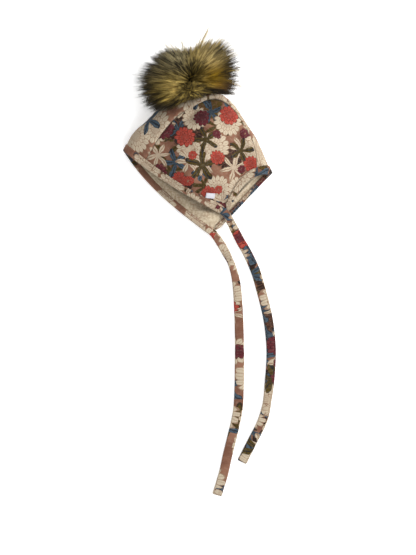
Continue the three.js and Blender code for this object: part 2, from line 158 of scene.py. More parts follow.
# Loose hairs that stand out of the rim: the plan point of their tips, how many, and their spread
FUR_TUFTS = (
    (16, 128, 16, 1.6), (9, 119, 14, 2.6), (2, 110, 12, 3.5), (-38, 112, 8, 1.4), (-46, 109, 6, 2.5),
    (34, 113, 9, 2.5), (45, 106, 9, 3.5), (54, 96, 9, 3.5), (-72, 62, 9, 4.0), (-68, 46, 9, 4.0),
    (-23, 110, 7, 3.5), (60, 70, 9, 5.0), (60, 50, 9, 4.0),
)


def smooth(x):
    c = np.clip(x, 0, 1)
    return c * c * (3 - 2 * c)


def ease(x, start, over):
    """0 up to the start, 1 from so far over it, and smooth between."""
    return smooth((x - start) / over)


def hump(x, wide):
    """A soft hump: 1 at 0, and almost nothing two widths away."""
    return np.exp(-((x / wide) ** 2))


def mix(a, b, f):
    return a + (b - a) * f


def ray(column, s):
    """A column of RAYS at s, from 0 at the face edge to 1 at the neck edge."""
    values = RAYS[column]
    last = len(values) - 1
    x = np.asarray(s, dtype=float) * last
    i = np.clip(np.floor(x), 0, last - 1).astype(int)
    b = values[i]
    c = values[i + 1]
    a = np.where(i > 0, values[np.maximum(i - 1, 0)], 2 * b - c)
    d = np.where(i < last - 1, values[np.minimum(i + 2, last)], 2 * c - b)
    f = x - i
    return b + 0.5 * f * (c - a + f * (2 * a - 5 * b + 4 * c - d + f * (3 * (b - c) + d - a)))


def along_knots(values, share):
    """A curve that passes through each value at its knot."""
    last = len(HEIGHT_KNOTS) - 1
    slopes = [(values[1] - values[0]) / HEIGHT_KNOTS[1]]
    for k in range(1, last):
        slopes.append((values[k + 1] - values[k - 1]) / (HEIGHT_KNOTS[k + 1] - HEIGHT_KNOTS[k - 1]))
    slopes.append((values[last] - values[last - 1]) / (1 - HEIGHT_KNOTS[last - 1]))
    result = np.zeros_like(share)
    for i in range(last):
        wide = HEIGHT_KNOTS[i + 1] - HEIGHT_KNOTS[i]
        f = np.clip((share - HEIGHT_KNOTS[i]) / wide, 0, 1)
        part = (2 * f**3 - 3 * f**2 + 1) * values[i] + (f**3 - 2 * f**2 + f) * wide * slopes[i]
        part = part + (3 * f**2 - 2 * f**3) * values[i + 1] + (f**3 - f**2) * wide * slopes[i + 1]
        result = np.where((share > HEIGHT_KNOTS[i]) | (i == 0), part, result)
    return result


def fold_lift(x, y):
    """How far the folds lift the upper layer at a plan point."""
    total = 0
    for from_x, from_y, to_x, to_y, wide, lift in FOLDS:
        dx = to_x - from_x
        dy = to_y - from_y
        f = np.clip(((x - from_x) * dx + (y - from_y) * dy) / (dx * dx + dy * dy), 0, 1)
        away = np.hypot(x - from_x - f * dx, y - from_y - f * dy)
        total = total + lift * hump(away, wide)
    return total


def ray_plan(s, near):
    """A ray's way in plan from the outline to its own point of the chin, and its length."""
    dx, dy = (
        np.where(near, mix(NEAR_CHIN[0][k], NEAR_CHIN[1][k], s), mix(FAR_CHIN[0][k], FAR_CHIN[1][k], s))
        - ray(column, s)
        for k, column in enumerate(("fold_x", "fold_y"))
    )
    return dx, dy, np.hypot(dx, dy)


def share_at(s, near, distance):
    """The parameter at a distance from the outline."""
    long = ray_plan(s, near)[2]
    turned = FOLD_SHARE * np.arccos(np.clip(1 - distance / FOLD_ROUND, -1, 1)) / (math.pi / 2)
    beyond = FOLD_SHARE + (1 - FOLD_SHARE) * (distance - FOLD_ROUND) / (long - FOLD_ROUND)
    return np.where(distance < FOLD_ROUND, turned, beyond)


def distance_at(s, v):
    """How far a point is from the outline, in plan, and the length of its ray."""
    t = np.abs(v)
    long = ray_plan(s, v < 0)[2]
    over = np.minimum(1, t / FOLD_SHARE) * math.pi / 2
    past = (t - FOLD_SHARE) / (1 - FOLD_SHARE)
    return np.where(t < FOLD_SHARE, FOLD_ROUND * (1 - np.cos(over)), mix(FOLD_ROUND, long, past)), long


def from_bound_edge(s, share):
    """How far a point is from the nearer bound edge, at a share of its ray."""
    return np.minimum(s, 1 - s) * mix(CROWN_LENGTH, CHIN_LENGTH, share)


def cloth(s, v):
    """The middle of the cloth at ray s, with v from -1 at the upper chin to 1 at the lower chin."""
    near = v < 0
    dx, dy, long = ray_plan(s, near)
    over = np.minimum(1, np.abs(v) / FOLD_SHARE) * math.pi / 2
    distance = distance_at(s, v)[0]
    share = distance / long
    bow = np.where(near, mix(*NEAR_BOW, s), mix(*FAR_BOW, s)) * np.sin(math.pi * share**BOW_POWER)
    x = ray("fold_x", s) + dx * share + (dy / long) * bow
    y = ray("fold_y", s) + dy * share - (dx / long) * bow
    heights = [ray(column, s) for column in ("past", "high", "low", "hem")] + [np.full_like(x, CHIN_HEIGHT)]
    upper = along_knots(heights, share) + fold_lift(x, y) * ease(distance, *FOLDS_START)
    inside = ease(np.minimum(from_bound_edge(s, share), long - distance), *THICK_EDGE)
    lower = mix(BINDING_OUT, JERSEY_OUT, inside)
    z = mix(ray("rim", s), np.where(near, upper, lower), np.sin(over))
    return np.stack([x, y, z], axis=-1)


def dot(a, b):
    return np.sum(a * b, axis=-1)


def unit(a):
    return a / np.maximum(np.linalg.norm(a, axis=-1, keepdims=True), 1e-9)


def frame_at(s, v):
    """The cloth's point, its two directions and its outward normal."""
    e = 1e-3
    s, v = np.broadcast_arrays(np.asarray(s, dtype=float), np.asarray(v, dtype=float))
    toward_neck = (cloth(s + e, v) - cloth(s - e, v)) / (2 * e)
    low = np.maximum(-1, v - e)
    high = np.minimum(1, v + e)
    along_ray = (cloth(s, high) - cloth(s, low)) / (high - low)[..., None]
    return cloth(s, v), toward_neck, along_ray, unit(np.cross(toward_neck, along_ray))


def offset(s, v, height):
    """Points at a height over the middle of the cloth."""
    point, _, _, normal = frame_at(s, v)
    return point + normal * np.asarray(height)[..., None]


def way_in(s, v):
    """The change of s and v for each millimetre in from an edge ray."""
    _, toward_neck, along_ray, _ = frame_at(s, v)
    a = dot(toward_neck, toward_neck)
    b = dot(toward_neck, along_ray)
    c = dot(along_ray, along_ray)
    inward = np.where(s > 0.5, -1, 1)
    square = smooth((1 - np.abs(v)) / SQUARE_SHARE)
    across_ray = np.sqrt(a - b * b / c)
    return mix(1 / np.sqrt(a), 1 / across_ray, square) * inward, square * (-b / (c * across_ray)) * inward


def in_from(s, v, distance, height):
    """Points so far in from an edge ray, at a height over the middle of the cloth."""
    ds, dv = way_in(s, v)
    return offset(s + ds * distance, v + dv * distance, height)


def puff_at(s, v):
    """How far the crown panel puffs up beside the upper seam."""
    away = np.abs(v + share_at(s, True, ray("seam_near", s)))
    along = hump(s - PUFF["at"], PUFF["wide"])
    return PUFF["lift"] * along * (1 - smooth(away / PUFF["reach"])) * smooth(s / PUFF["start"])


def waves(x, y, size, long, seed):
    """Slow uneven waves of a soft cloth, from a few sines in seeded directions."""
    draw = np.random.default_rng(seed)
    sines = 6
    total = 0
    for _ in range(sines):
        bearing = draw.uniform(0, 2 * math.pi)
        pitch = long * draw.uniform(0.7, 1.5)
        phase = draw.uniform(0, 2 * math.pi)
        total = total + np.sin((x * math.cos(bearing) + y * math.sin(bearing)) * 2 * math.pi / pitch + phase)
    return size * total / sines


def puckers(along, away, size, pitch, reach, seed):
    """Small gathers that a seam's thread pulls into the cloth beside it."""
    uneven = waves(along, away * 0.3, 1.4, pitch * 3, seed)
    return size * np.sin(along * 2 * math.pi / pitch + 2.5 * uneven) * np.exp(-away / reach)


# Scene helpers


def deselect():
    bpy.ops.object.select_all(action="DESELECT")


def finish_modifiers(obj):
    """Applies a piece's modifiers in their order."""
    deselect()
    bpy.context.view_layer.objects.active = obj
    obj.select_set(True)
    for modifier in list(obj.modifiers):
        bpy.ops.object.modifier_apply(modifier=modifier.name)


def shade_smooth(obj):
    obj.data.polygons.foreach_set("use_smooth", [True] * len(obj.data.polygons))
    obj.data.update()


def new_grid(name, across, along):
    """A grid primitive, with the share of the way across and along of each of its vertices."""
    deselect()
    bpy.ops.mesh.primitive_grid_add(x_subdivisions=across, y_subdivisions=along, size=1)
    obj = bpy.context.object
    obj.name = name
    obj.data.name = name
    co = np.empty(len(obj.data.vertices) * 3)
    obj.data.vertices.foreach_get("co", co)
    co = co.reshape(-1, 3)
    return obj, np.clip(co[:, 0] + 0.5, 0, 1), np.clip(co[:, 1] + 0.5, 0, 1)


def keep_above(points, gap=CLOTH_GAP):
    """Lifts points that lie lower than the gap."""
    points[..., 2] = np.maximum(points[..., 2], gap)
    return points


def place_vertices(obj, points):
    obj.data.vertices.foreach_set("co", (points * MM).ravel())
    obj.data.update()


def write_uv(obj, u, v):
    """Writes the cloth's own coordinates, in metres, on the piece's UV map."""
    mesh = obj.data
    while mesh.uv_layers:
        mesh.uv_layers.remove(mesh.uv_layers[0])
    layer = mesh.uv_layers.new(name="UVMap")
    corners = np.empty(len(mesh.loops), dtype=int)
    mesh.loops.foreach_get("vertex_index", corners)
    layer.data.foreach_set("uv", (np.stack([u, v], axis=-1)[corners] * MM).ravel())


def solidify(obj, thickness):
    """Gives a sheet its wall, towards the inside."""
    modifier = obj.modifiers.new("Thickness", "SOLIDIFY")
    modifier.thickness = thickness * MM
    modifier.offset = -1
    modifier.use_even_offset = False
    modifier.use_rim = True
    finish_modifiers(obj)
    for vertex in obj.data.vertices:
        vertex.co.z = max(vertex.co.z, WALL_GAP * MM)
    shade_smooth(obj)


def mesh_object(name, points, faces):
    """A smooth mesh of points in millimetres and faces with equal numbers of corners."""
    mesh = bpy.data.meshes.new(name)
    mesh.vertices.add(len(points))
    mesh.vertices.foreach_set("co", (np.asarray(points) * MM).ravel())
    faces = np.asarray(faces)
    corners = faces.shape[1]
    mesh.loops.add(faces.size)
    mesh.loops.foreach_set("vertex_index", faces.ravel())
    mesh.polygons.add(len(faces))
    mesh.polygons.foreach_set("loop_start", np.arange(0, faces.size, corners))
    mesh.update(calc_edges=True)
    mesh.validate()
    obj = bpy.data.objects.new(name, mesh)
    bpy.context.collection.objects.link(obj)
    shade_smooth(obj)
    return obj


def dress(obj, material, replaces=()):
    """Gives a piece its material and body, and hides the solids that it stands for."""
    obj.data.materials.clear()
    obj.data.materials.append(material)
    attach(obj, BODY)
    if replaces:
        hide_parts(*replaces)


# Materials


def linear(hex_colour):
    """A linear colour from a hex number as a maker would note it."""
    channels = [(hex_colour >> shift & 255) / 255 for shift in (16, 8, 0)]
    return tuple(c / 12.92 if c <= 0.04045 else ((c + 0.055) / 1.055) ** 2.4 for c in channels)


class Value:
    """A socket that Python's operators add Math nodes to."""

    def __init__(self, shader, socket):
        self.shader = shader
        self.socket = socket

    def __add__(self, other):
        return self.shader.math("ADD", self, other)

    def __sub__(self, other):
        return self.shader.math("SUBTRACT", self, other)

    def __rsub__(self, other):
        return self.shader.math("SUBTRACT", other, self)

    def __mul__(self, other):
        return self.shader.math("MULTIPLY", self, other)

    def __truediv__(self, other):
        return self.shader.math("DIVIDE", self, other)

    def __pow__(self, other):
        return self.shader.math("POWER", self, other)

    def __lt__(self, other):
        return self.shader.math("LESS_THAN", self, other)

    def __gt__(self, other):
        return self.shader.math("GREATER_THAN", self, other)

    def __abs__(self):
        return self.shader.math("ABSOLUTE", self)

    __radd__ = __add__
    __rmul__ = __mul__


class Shader:
    """A node tree that is being filled."""

    def __init__(self, tree):
        self.tree = tree

    def node(self, kind, settings=None, values=None):
        """Adds a node: its settings first, then the values or links of its sockets, by place or by name."""
        node = self.tree.nodes.new(kind)
        for key, setting in (settings or {}).items():
            if key == "stops":
                self.set_stops(node.color_ramp, setting)
            else:
                setattr(node, key, setting)
        pairs = values.items() if isinstance(values, dict) else enumerate(values or ())
        for key, value in pairs:
            self.put(node.inputs[key], value)
        return node

    def put(self, target, value):
        if isinstance(value, Value):
            value = value.socket
        if isinstance(value, bpy.types.NodeSocket):
            self.tree.links.new(value, target)
        elif target.type == "RGBA" and len(value) == 3:
            target.default_value = (*value, 1)
        else:
            target.default_value = value

    def set_stops(self, ramp, stops):
        while len(ramp.elements) > 1:
            ramp.elements.remove(ramp.elements[-1])
        for index, (position, colour) in enumerate(stops):
            element = ramp.elements[0] if index == 0 else ramp.elements.new(position)
            element.position = position
            element.color = (*colour, 1) if hasattr(colour, "__len__") else (colour, colour, colour, 1)

    def value(self, socket):
        return Value(self, socket)

    def math(self, operation, *values):
        node = self.node("ShaderNodeMath", {"operation": operation}, values)
        return Value(self, node.outputs[0])

    def step(self, value, low, high):
        """0 below low, 1 above high and smooth between."""
        settings = {"interpolation_type": "SMOOTHSTEP"}
        node = self.node("ShaderNodeMapRange", settings, {0: value, 1: low, 2: high, 3: 0.0, 4: 1.0})
        return Value(self, node.outputs[0])

    def blend(self, factor, first, second):
        settings = {"data_type": "RGBA", "clamp_factor": True}
        node = self.node("ShaderNodeMix", settings, {0: factor, 6: first, 7: second})
        return node.outputs[2]

    def vector(self, operation, *values):
        node = self.node("ShaderNodeVectorMath", {"operation": operation}, values)
        return node.outputs["Value"] if operation in ("LENGTH", "DISTANCE") else node.outputs["Vector"]

    def scale(self, vector, factor):
        node = self.node("ShaderNodeVectorMath", {"operation": "SCALE"}, {0: vector, 3: factor})
        return node.outputs["Vector"]

    def noise(self, vector, scale, detail=2.0, kind="2D"):
        values = {"Vector": vector, "Scale": scale, "Detail": detail}
        return self.node("ShaderNodeTexNoise", {"noise_dimensions": kind}, values)

    def grain(self, vector, scale, detail=2.0, kind="2D"):
        return self.value(self.noise(vector, scale, detail, kind).outputs[0])

    def split(self, vector):
        """The first two parts of a vector."""
        parts = self.node("ShaderNodeSeparateXYZ", None, [vector])
        return self.value(parts.outputs[0]), self.value(parts.outputs[1])

    def ripples(self, value, pitch):
        """A sine with one wave for each pitch, in metres."""
        return self.math("SINE", value * (2 * math.pi / pitch))

    def object_place(self):
        return self.node("ShaderNodeTexCoord").outputs["Object"]

    def cloth_place(self):
        return self.node("ShaderNodeUVMap", {"uv_map": "UVMap"}).outputs[0]


def new_material(name, fixed=None):
    """A material, its shader and its surface. The fixed sockets are the same all over."""
    material = bpy.data.materials.new(name)
    material.use_nodes = True
    tree = material.node_tree
    tree.nodes.clear()
    shader = Shader(tree)
    output = shader.node("ShaderNodeOutputMaterial")
    surface = shader.node("ShaderNodeBsdfPrincipled", None, fixed)
    tree.links.new(surface.outputs[0], output.inputs[0])
    return material, shader, surface


def cover(shader, surface, colour, roughness, height=None, strength=0.0, deep=0.0):
    """Links what changes over a surface: its colour, its roughness and a bump of some depth."""
    shader.put(surface.inputs["Base Color"], colour)
    shader.put(surface.inputs["Roughness"], roughness)
    if height is not None:
        bump = shader.node("ShaderNodeBump", None, {"Strength": strength, "Distance": deep, "Height": height})
        shader.put(surface.inputs["Normal"], bump.outputs[0])


def petal_ring(away, wave, size, line, gap):
    """An inner ring of petals: where it is, and its drawn lines."""
    near = away / size
    limit = wave**0.5 * 0.3 + 0.7
    return near < limit, (abs(near - limit) < line) + (wave < gap) * (near > 0.4)


def motif(shader, place, cell, seed, petals, size, share, pointed=False, rings=2):
    """One seeded motif for each cell of a scattered grid.

    Returns its mask, its drawn lines, its own number, its heart and how far out a point of it is.
    """
    shifted = shader.vector("ADD", place, (seed * 0.137, seed * 0.071, 0.0))
    settings = {"voronoi_dimensions": "2D", "feature": "F1"}
    values = {"Vector": shifted, "Scale": 1 / cell, "Randomness": 0.62}
    scatter = shader.node("ShaderNodeTexVoronoi", settings, values)
    local = shader.vector("SUBTRACT", shifted, scatter.outputs["Position"])
    own = shader.node("ShaderNodeSeparateColor", None, [scatter.outputs["Color"]])
    turn, grow, chance = (shader.value(own.outputs[i]) for i in range(3))
    away = shader.value(shader.vector("LENGTH", local)) / (grow * (0.45 * size) + 0.78 * size)
    across, up = shader.split(local)
    half = (shader.math("ARCTAN2", up, across) + turn * 6.2832) * (petals / 2)
    wave = abs(shader.math("COSINE", half))
    if pointed:
        limit = wave**2.2 * 0.82 + 0.2
        rib = (wave > 0.988) * (away > 0.15)
        vein = shader.math("SINE", away * 34 + wave * 16) > 0.86
        lines = rib + vein * (wave > 0.75) * 0.6
    else:
        limit = wave**0.5 * 0.26 + 0.74
        gap = (wave < 0.17) * (away > 0.3)
        lines = gap + (wave > 0.985) * (away > 0.62) * 0.5
    lines = shader.math("MAXIMUM", lines, abs(away - limit) < 0.06)
    if not pointed:
        within, inner_lines = petal_ring(away, abs(shader.math("SINE", half)), 0.62, 0.08, 0.2)
        if rings > 2:
            core, core_lines = petal_ring(away, wave, 0.38, 0.1, 0.25)
            inner_lines = inner_lines * (1 - core) + core_lines * core
        lines = lines * (1 - within) + inner_lines * within
    present = chance < share
    mask = (away < limit) * present
    heart = (away < 0.17) * present
    return mask, shader.math("MINIMUM", lines, 1.0) * mask, turn, heart, away


# The layers of the print, from the lowest: how far apart its motifs are, seed, petals, size, share of
# the places that have one, pointed leaves or round petals, rings of petals, two fills, line, line strength
PRINT_LAYERS = (
    (0.038, 1.0, 7, 0.0210, 0.85, True, 2, "brown", "olive", "ink", 0.8),
    (0.052, 8.0, 13, 0.0190, 0.62, False, 3, "brown", "olive", "umber", 0.85),
    (0.032, 2.0, 5, 0.0175, 0.66, True, 2, "blue", "blue", "navy", 0.9),
    (0.037, 3.0, 15, 0.0190, 0.80, False, 3, "cream", "cream", "tan", 0.85),
    (0.030, 4.0, 6, 0.0150, 0.42, True, 2, "cream", "cream", "tan", 0.85),
    (0.046, 5.0, 5, 0.0165, 0.50, True, 2, "blue", "olive", "navy", 0.9),
    (0.039, 6.0, 11, 0.0108, 0.66, False, 3, "coral", "maroon", "ink", 0.85),
    (0.033, 7.0, 8, 0.0062, 0.42, False, 2, "maroon", "coral", "ink", 0.85),
)


def print_group(colours):
    """The floral print as one shared group: layers of scattered motifs of seeded size, turn and place."""

    def print_colour(name):
        return getattr(colours, "print_" + name)

    tree = bpy.data.node_groups.new("floral_print", "ShaderNodeTree")
    tree.interface.new_socket("Vector", in_out="INPUT", socket_type="NodeSocketVector")
    tree.interface.new_socket("Vivid", in_out="INPUT", socket_type="NodeSocketFloat")
    tree.interface.new_socket("Color", in_out="OUTPUT", socket_type="NodeSocketColor")
    shader = Shader(tree)
    entry = shader.node("NodeGroupInput")
    vivid = shader.value(entry.outputs[1])
    wobble = shader.noise(entry.outputs[0], 90.0)
    centred = shader.vector("SUBTRACT", wobble.outputs["Color"], (0.5, 0.5, 0.5))
    place = shader.vector("ADD", entry.outputs[0], shader.scale(centred, 0.0045))
    uneven = shader.step(shader.grain(entry.outputs[0], 60.0), 0.3, 0.7)
    colour = shader.blend(uneven, colours.print_ground, colours.print_ground_dark)
    for cell, seed, petals, size, share, pointed, rings, fill, second, line, strong in PRINT_LAYERS:
        if fill != "cream":
            share = vivid * share
        mask, lines, turn, heart, away = motif(shader, place, cell, seed, petals, size, share, pointed, rings)
        shade = shader.blend(turn > 0.55, print_colour(fill), print_colour(second))
        shade = shader.blend(shader.step(away, 0.75, 0.1) * 0.3, shade, print_colour(line))
        colour = shader.blend(mask, colour, shade)
        colour = shader.blend(lines * strong, colour, print_colour(line))
        if not pointed and rings == 2:
            colour = shader.blend(heart, colour, colours.print_tan)
    output = shader.node("NodeGroupOutput")
    tree.links.new(colour, output.inputs[0])
    return tree


KNIT_COLUMN = 0.0009  # metres from one column of the knit to the next, and from loop to loop
KNIT_LOOP = 0.0008
WEFT_PITCH = 0.00045  # metres between the threads of the label's weave
WARP_PITCH = 0.00035
# KNIT_SHADE is painted shade: the colour that the knit's hollows are darkened towards
KNIT_SHADE = 0x38291F
LINT = 0xE6DCCB
FUR_SHADE = 0x17110A


def knit_height(shader, place):
    """The fine knit of the jersey: columns of slanted loops, in the cloth's own coordinates."""
    u, v = shader.split(place)
    column = shader.ripples(u, KNIT_COLUMN)
    loop = shader.math("SINE", v * (2 * math.pi / KNIT_LOOP) + column * 1.2)
    return column * 0.3 + loop * 0.4 + shader.grain(place, 900.0) * 0.5


def print_material(name, tree, shift, turn, vivid):
    fixed = {"Specular IOR Level": 0.12, "Sheen Weight": 0.06, "Sheen Roughness": 0.5}
    material, shader, surface = new_material(name, fixed)
    uv = shader.cloth_place()
    values = {"Vector": uv, "Location": (*shift, 0.0), "Rotation": (0.0, 0.0, math.radians(turn))}
    place = shader.node("ShaderNodeMapping", None, values).outputs[0]
    printed = shader.node("ShaderNodeGroup", {"node_tree": tree}, [place, vivid]).outputs[0]
    height = knit_height(shader, uv)
    faded = shader.grain(uv, 400.0, 4.0)
    # Painted shade: where the knit's height is low, in its hollows, the print is darkened towards KNIT_SHADE
    colour = shader.blend((1 - height) * 0.16, printed, linear(KNIT_SHADE))
    colour = shader.blend(shader.step(faded, 0.45, 0.8) * 0.05, colour, linear(LINT))
    cover(shader, surface, colour, faded * 0.12 + 0.8, height, 0.35, 0.00025)
    return material


def fleece_material(name, colours):
    fixed = {"Specular IOR Level": 0.15, "Sheen Weight": 0.3, "Sheen Roughness": 0.6}
    material, shader, surface = new_material(name, fixed)
    place = shader.object_place()
    nap = shader.grain(place, 420.0, 4.0, "3D")
    clumps = shader.grain(place, 95.0, 3.0, "3D")
    colour = shader.blend(shader.step(nap, 0.3, 0.68), colours.fleece_dark, colours.fleece)
    colour = shader.blend(shader.step(clumps, 0.35, 0.7) * 0.35, colour, colours.fleece_light)
    cover(shader, surface, colour, nap * 0.1 + 0.88, nap * 0.7 + clumps * 0.6, 0.6, 0.0008)
    return material


def thread_material(name, colour, dark):
    material, shader, surface = new_material(name)
    fibre = shader.grain(shader.object_place(), 1500.0, 2.0, "3D")
    cover(shader, surface, shader.blend(shader.step(fibre, 0.3, 0.7), dark, colour), fibre * 0.2 + 0.5)
    return material


def label_material(name, colours):
    material, shader, surface = new_material(name)
    uv = shader.cloth_place()
    u, v = shader.split(uv)
    weave = shader.ripples(u, WEFT_PITCH) * shader.ripples(v, WARP_PITCH)
    soil = shader.grain(uv, 300.0, 3.0)
    colour = shader.blend(weave * 0.1 + 0.1, colours.label, colours.label_dark)
    colour = shader.blend(soil * 0.15, colour, colours.label_dark)
    cover(shader, surface, colour, soil * 0.15 + 0.45, weave, 0.3, 0.0001)
    return material


def fur_material(name):
    material, shader, surface = new_material(name, {"Specular IOR Level": 0.12})
    colour = shader.node("ShaderNodeAttribute", {"attribute_name": "fur_colour"}).outputs["Color"]
    fibre = shader.grain(shader.object_place(), 700.0, 2.0, "3D")
    cover(shader, surface, shader.blend(fibre * 0.2, colour, linear(FUR_SHADE)), fibre * 0.15 + 0.5)
    return material


def floor_material(name, colours):
    fixed = {"Emission Color": (1.0, 1.0, 1.0), "Emission Strength": 0.3}
    material, shader, surface = new_material(name, fixed)
    tone = shader.grain(shader.object_place(), 4.0, 2.0, "3D")
    cover(shader, surface, shader.blend(tone * 0.02, colours.floor, (0.8, 0.8, 0.8)), 0.85)
    return material


def colour_property(name, description, hex_colour):
    return FloatVectorProperty(
        name=name,
        description=description,
        subtype="COLOR",
        size=3,
        min=0,
        max=1,
        default=linear(hex_colour),
    )


def length_property(name, description, default, least):
    return FloatProperty(name=name, description=description, default=default, min=least, unit="LENGTH")


class BonnetSizes(bpy.types.PropertyGroup):
    """Sizes that a maker would change."""

    jersey: length_property("Jersey", "Thickness of the jersey", 0.00115, 0.0005)
    lining: length_property("Lining", "Thickness of the fleece", 0.0018, 0.0005)
    binding: length_property("Binding", "Width of the binding's outer leaf", 0.0086, 0.004)
    binding_inside: length_property("Binding inside", "Width of its inner leaf", 0.0065, 0.003)
    tie_width: length_property("Tie width", "Width of each flat tie", 0.0115, 0.004)
    tie_thickness: length_property("Tie thickness", "Thickness of each folded tie", 0.003, 0.001)
    near_tie: length_property("Near tie", "Length of the upper tie", 0.333, 0.1)
    far_tie: length_property("Far tie", "Length of the lower tie", 0.338, 0.1)
    stitch: length_property("Stitch", "Length of one topstitch", 0.0023, 0.001)
    stitch_pitch: length_property("Stitch pitch", "From one topstitch to the next", 0.003, 0.001)
    strands: IntProperty(
        name="Strands", description="Strands in each half of the fur's top", default=15000, min=100
    )
    strand_width: length_property("Strand width", "Thickness of one strand of fur", 0.0004, 0.0001)


class BonnetColours(bpy.types.PropertyGroup):
    """Colours that a maker would change."""

    print_ground: colour_property("Print ground", "Rose brown ground of the print", 0x835D4A)
    print_ground_dark: colour_property("Print ground, darker", "Uneven dye of the ground", 0x6C4838)
    print_cream: colour_property("Print cream", "Cream flowers", 0xB4A690)
    print_tan: colour_property("Print tan", "Drawn lines of the cream flowers", 0x795B45)
    print_coral: colour_property("Print coral", "Coral flowers", 0x9C3A2E)
    print_maroon: colour_property("Print maroon", "Maroon flowers", 0x591D26)
    print_blue: colour_property("Print blue", "Slate blue leaves", 0x3B4D5A)
    print_navy: colour_property("Print navy", "Drawn lines of the blue leaves", 0x11161E)
    print_olive: colour_property("Print olive", "Olive leaves", 0x48390A)
    print_brown: colour_property("Print brown", "Dark brown leaves", 0x20110C)
    print_umber: colour_property("Print umber", "Drawn lines of the dark brown flowers", 0x5E3E30)
    print_ink: colour_property("Print ink", "Drawn lines of the dark motifs", 0x160D0B)
    fleece: colour_property("Fleece", "Cream fleece", 0xB6A78E)
    fleece_dark: colour_property("Fleece, shaded", "Depth of the fleece's nap", 0x8C765E)
    fleece_light: colour_property("Fleece, light", "Raised nap", 0xC6BBA2)
    thread: colour_property("Thread", "Topstitching thread", 0x82583C)
    thread_dark: colour_property("Thread, shaded", "Shaded thread", 0x5E4434)
    label: colour_property("Label", "Bare woven label", 0xC2C1C7)
    label_dark: colour_property("Label, shaded", "Shaded label", 0xB4B0BA)
    fur_khaki: colour_property("Fur khaki", "Main colour of the fur", 0x9C8646)
    # Dark roots: the fur's own darker base, with painted shade deep in the fur
    fur_root: colour_property("Fur root", "Dark roots of the fur", 0x2A2412)
    fur_tip: colour_property("Fur tip", "Dark tips of the fur", 0x140E0B)
    fur_straw: colour_property("Fur straw", "Yellow-beige patch", 0xDCC070)
    fur_mustard: colour_property("Fur mustard", "Mustard patch", 0x7C6008)
    fur_beige: colour_property("Fur beige", "Beige patch", 0xCCB478)
    fur_russet: colour_property("Fur russet", "Red-brown patch", 0x7A421C)
    fur_grey: colour_property("Fur grey", "Grey-brown patch", 0xB0A47E)
    floor: colour_property("Floor", "Plain pale floor", 0xFFFFFF)


# The camera: its height, the height of what it sees on the floor and the middle of that, in metres
CAMERA_AWAY = 3.6
SEEN_HEIGHT = 0.666
SEEN_MIDDLE = (0.0124, -0.1752)
CAMERA_SENSOR = 36
FLOOR_SIZE = 8
LIT_POINT = Vector((0, -0.1, 0))
LIGHTS = (
    # name, place, watts, size
    ("light_above", (-0.4, 0.9, 1.6), 12, 1.4),
    ("light_right", (1.4, 0.4, 1.0), 40, 0.9),
    ("light_front", (0.2, -1.6, 1.2), 14, 1.4),
)
WORLD_LIGHT = 0.46


class StageOperator(bpy.types.Operator):
    """Adds the camera straight above, the pale floor and the soft studio light"""

    bl_idname = "bonnet.stage"
    bl_label = "Stage"

    def execute(self, context):
        camera = bpy.data.cameras.new("camera")
        camera.sensor_fit = "VERTICAL"
        camera.sensor_height = CAMERA_SENSOR
        camera.lens = CAMERA_SENSOR * CAMERA_AWAY / SEEN_HEIGHT
        camera.clip_end = 20
        eye = bpy.data.objects.new("camera", camera)
        eye.location = (*SEEN_MIDDLE, CAMERA_AWAY)
        context.collection.objects.link(eye)
        context.scene.camera = eye

        deselect()
        bpy.ops.mesh.primitive_plane_add(size=FLOOR_SIZE)
        floor = context.object
        floor.name = "floor"
        floor.data.materials.append(floor_material("floor_paper", context.scene.bonnet_colours))

        for name, place, watts, size in LIGHTS:
            lamp = bpy.data.lights.new(name, "AREA")
            lamp.energy = watts
            lamp.size = size
            obj = bpy.data.objects.new(name, lamp)
            obj.location = place
            obj.rotation_euler = (LIT_POINT - Vector(place)).to_track_quat("-Z", "Y").to_euler()
            context.collection.objects.link(obj)

        world = bpy.data.worlds.new("studio")
        world.use_nodes = True
        world.node_tree.nodes["Background"].inputs[0].default_value = (1, 1, 1, 1)
        world.node_tree.nodes["Background"].inputs[1].default_value = WORLD_LIGHT
        context.scene.world = world
        context.scene.view_settings.view_transform = "Standard"
        return {"FINISHED"}


def spline_points(points, spacing):
    """Points at an even spacing along a centripetal curve through the given ones, and its length."""
    rows = np.array(points, dtype=float)
    rows = np.vstack([2 * rows[0] - rows[1], rows, 2 * rows[-1] - rows[-2]])
    line = []
    for p in zip(rows, rows[1:], rows[2:], rows[3:]):
        steps = [math.sqrt(np.linalg.norm(p[k + 1] - p[k])) for k in range(3)]
        knots = np.cumsum([0] + steps)
        t = np.linspace(knots[1], knots[2], 40, endpoint=False)[:, None]
        a = [mix(p[k], p[k + 1], (t - knots[k]) / (knots[k + 1] - knots[k])) for k in range(3)]
        b = [mix(a[k], a[k + 1], (t - knots[k]) / (knots[k + 2] - knots[k])) for k in range(2)]
        line.append(mix(b[0], b[1], (t - knots[1]) / (knots[2] - knots[1])))
    line = np.vstack(line + [rows[-2][None]])
    lengths = lengths_along(line)
    count = int(round(lengths[-1] / spacing))
    at = np.linspace(0, lengths[-1], count + 1)
    return np.stack([np.interp(at, lengths, line[:, k]) for k in range(3)], axis=-1), lengths[-1]


def lengths_along(line):
    """The length along a row of points up to each of them."""
    return np.concatenate([[0], np.cumsum(np.linalg.norm(np.diff(line, axis=0), axis=1))])


# How wide each tie is along its way, as shares of its full width: millimetres along, share
NEAR_WIDTH = (
    (0, 0.8), (14, 0.82), (30, 0.86), (50, 0.92), (75, 0.97), (95, 1.0), (236, 1.0), (254, 0.88),
    (270, 1.0), (330, 1.0),
)
FAR_WIDTH = (
    (0, 0.68), (12, 0.74), (22, 0.84), (34, 0.87), (44, 0.84), (53, 0.72), (62, 0.76), (80, 0.85),
    (112, 0.92), (150, 0.94), (185, 1.0), (350, 1.0),
)
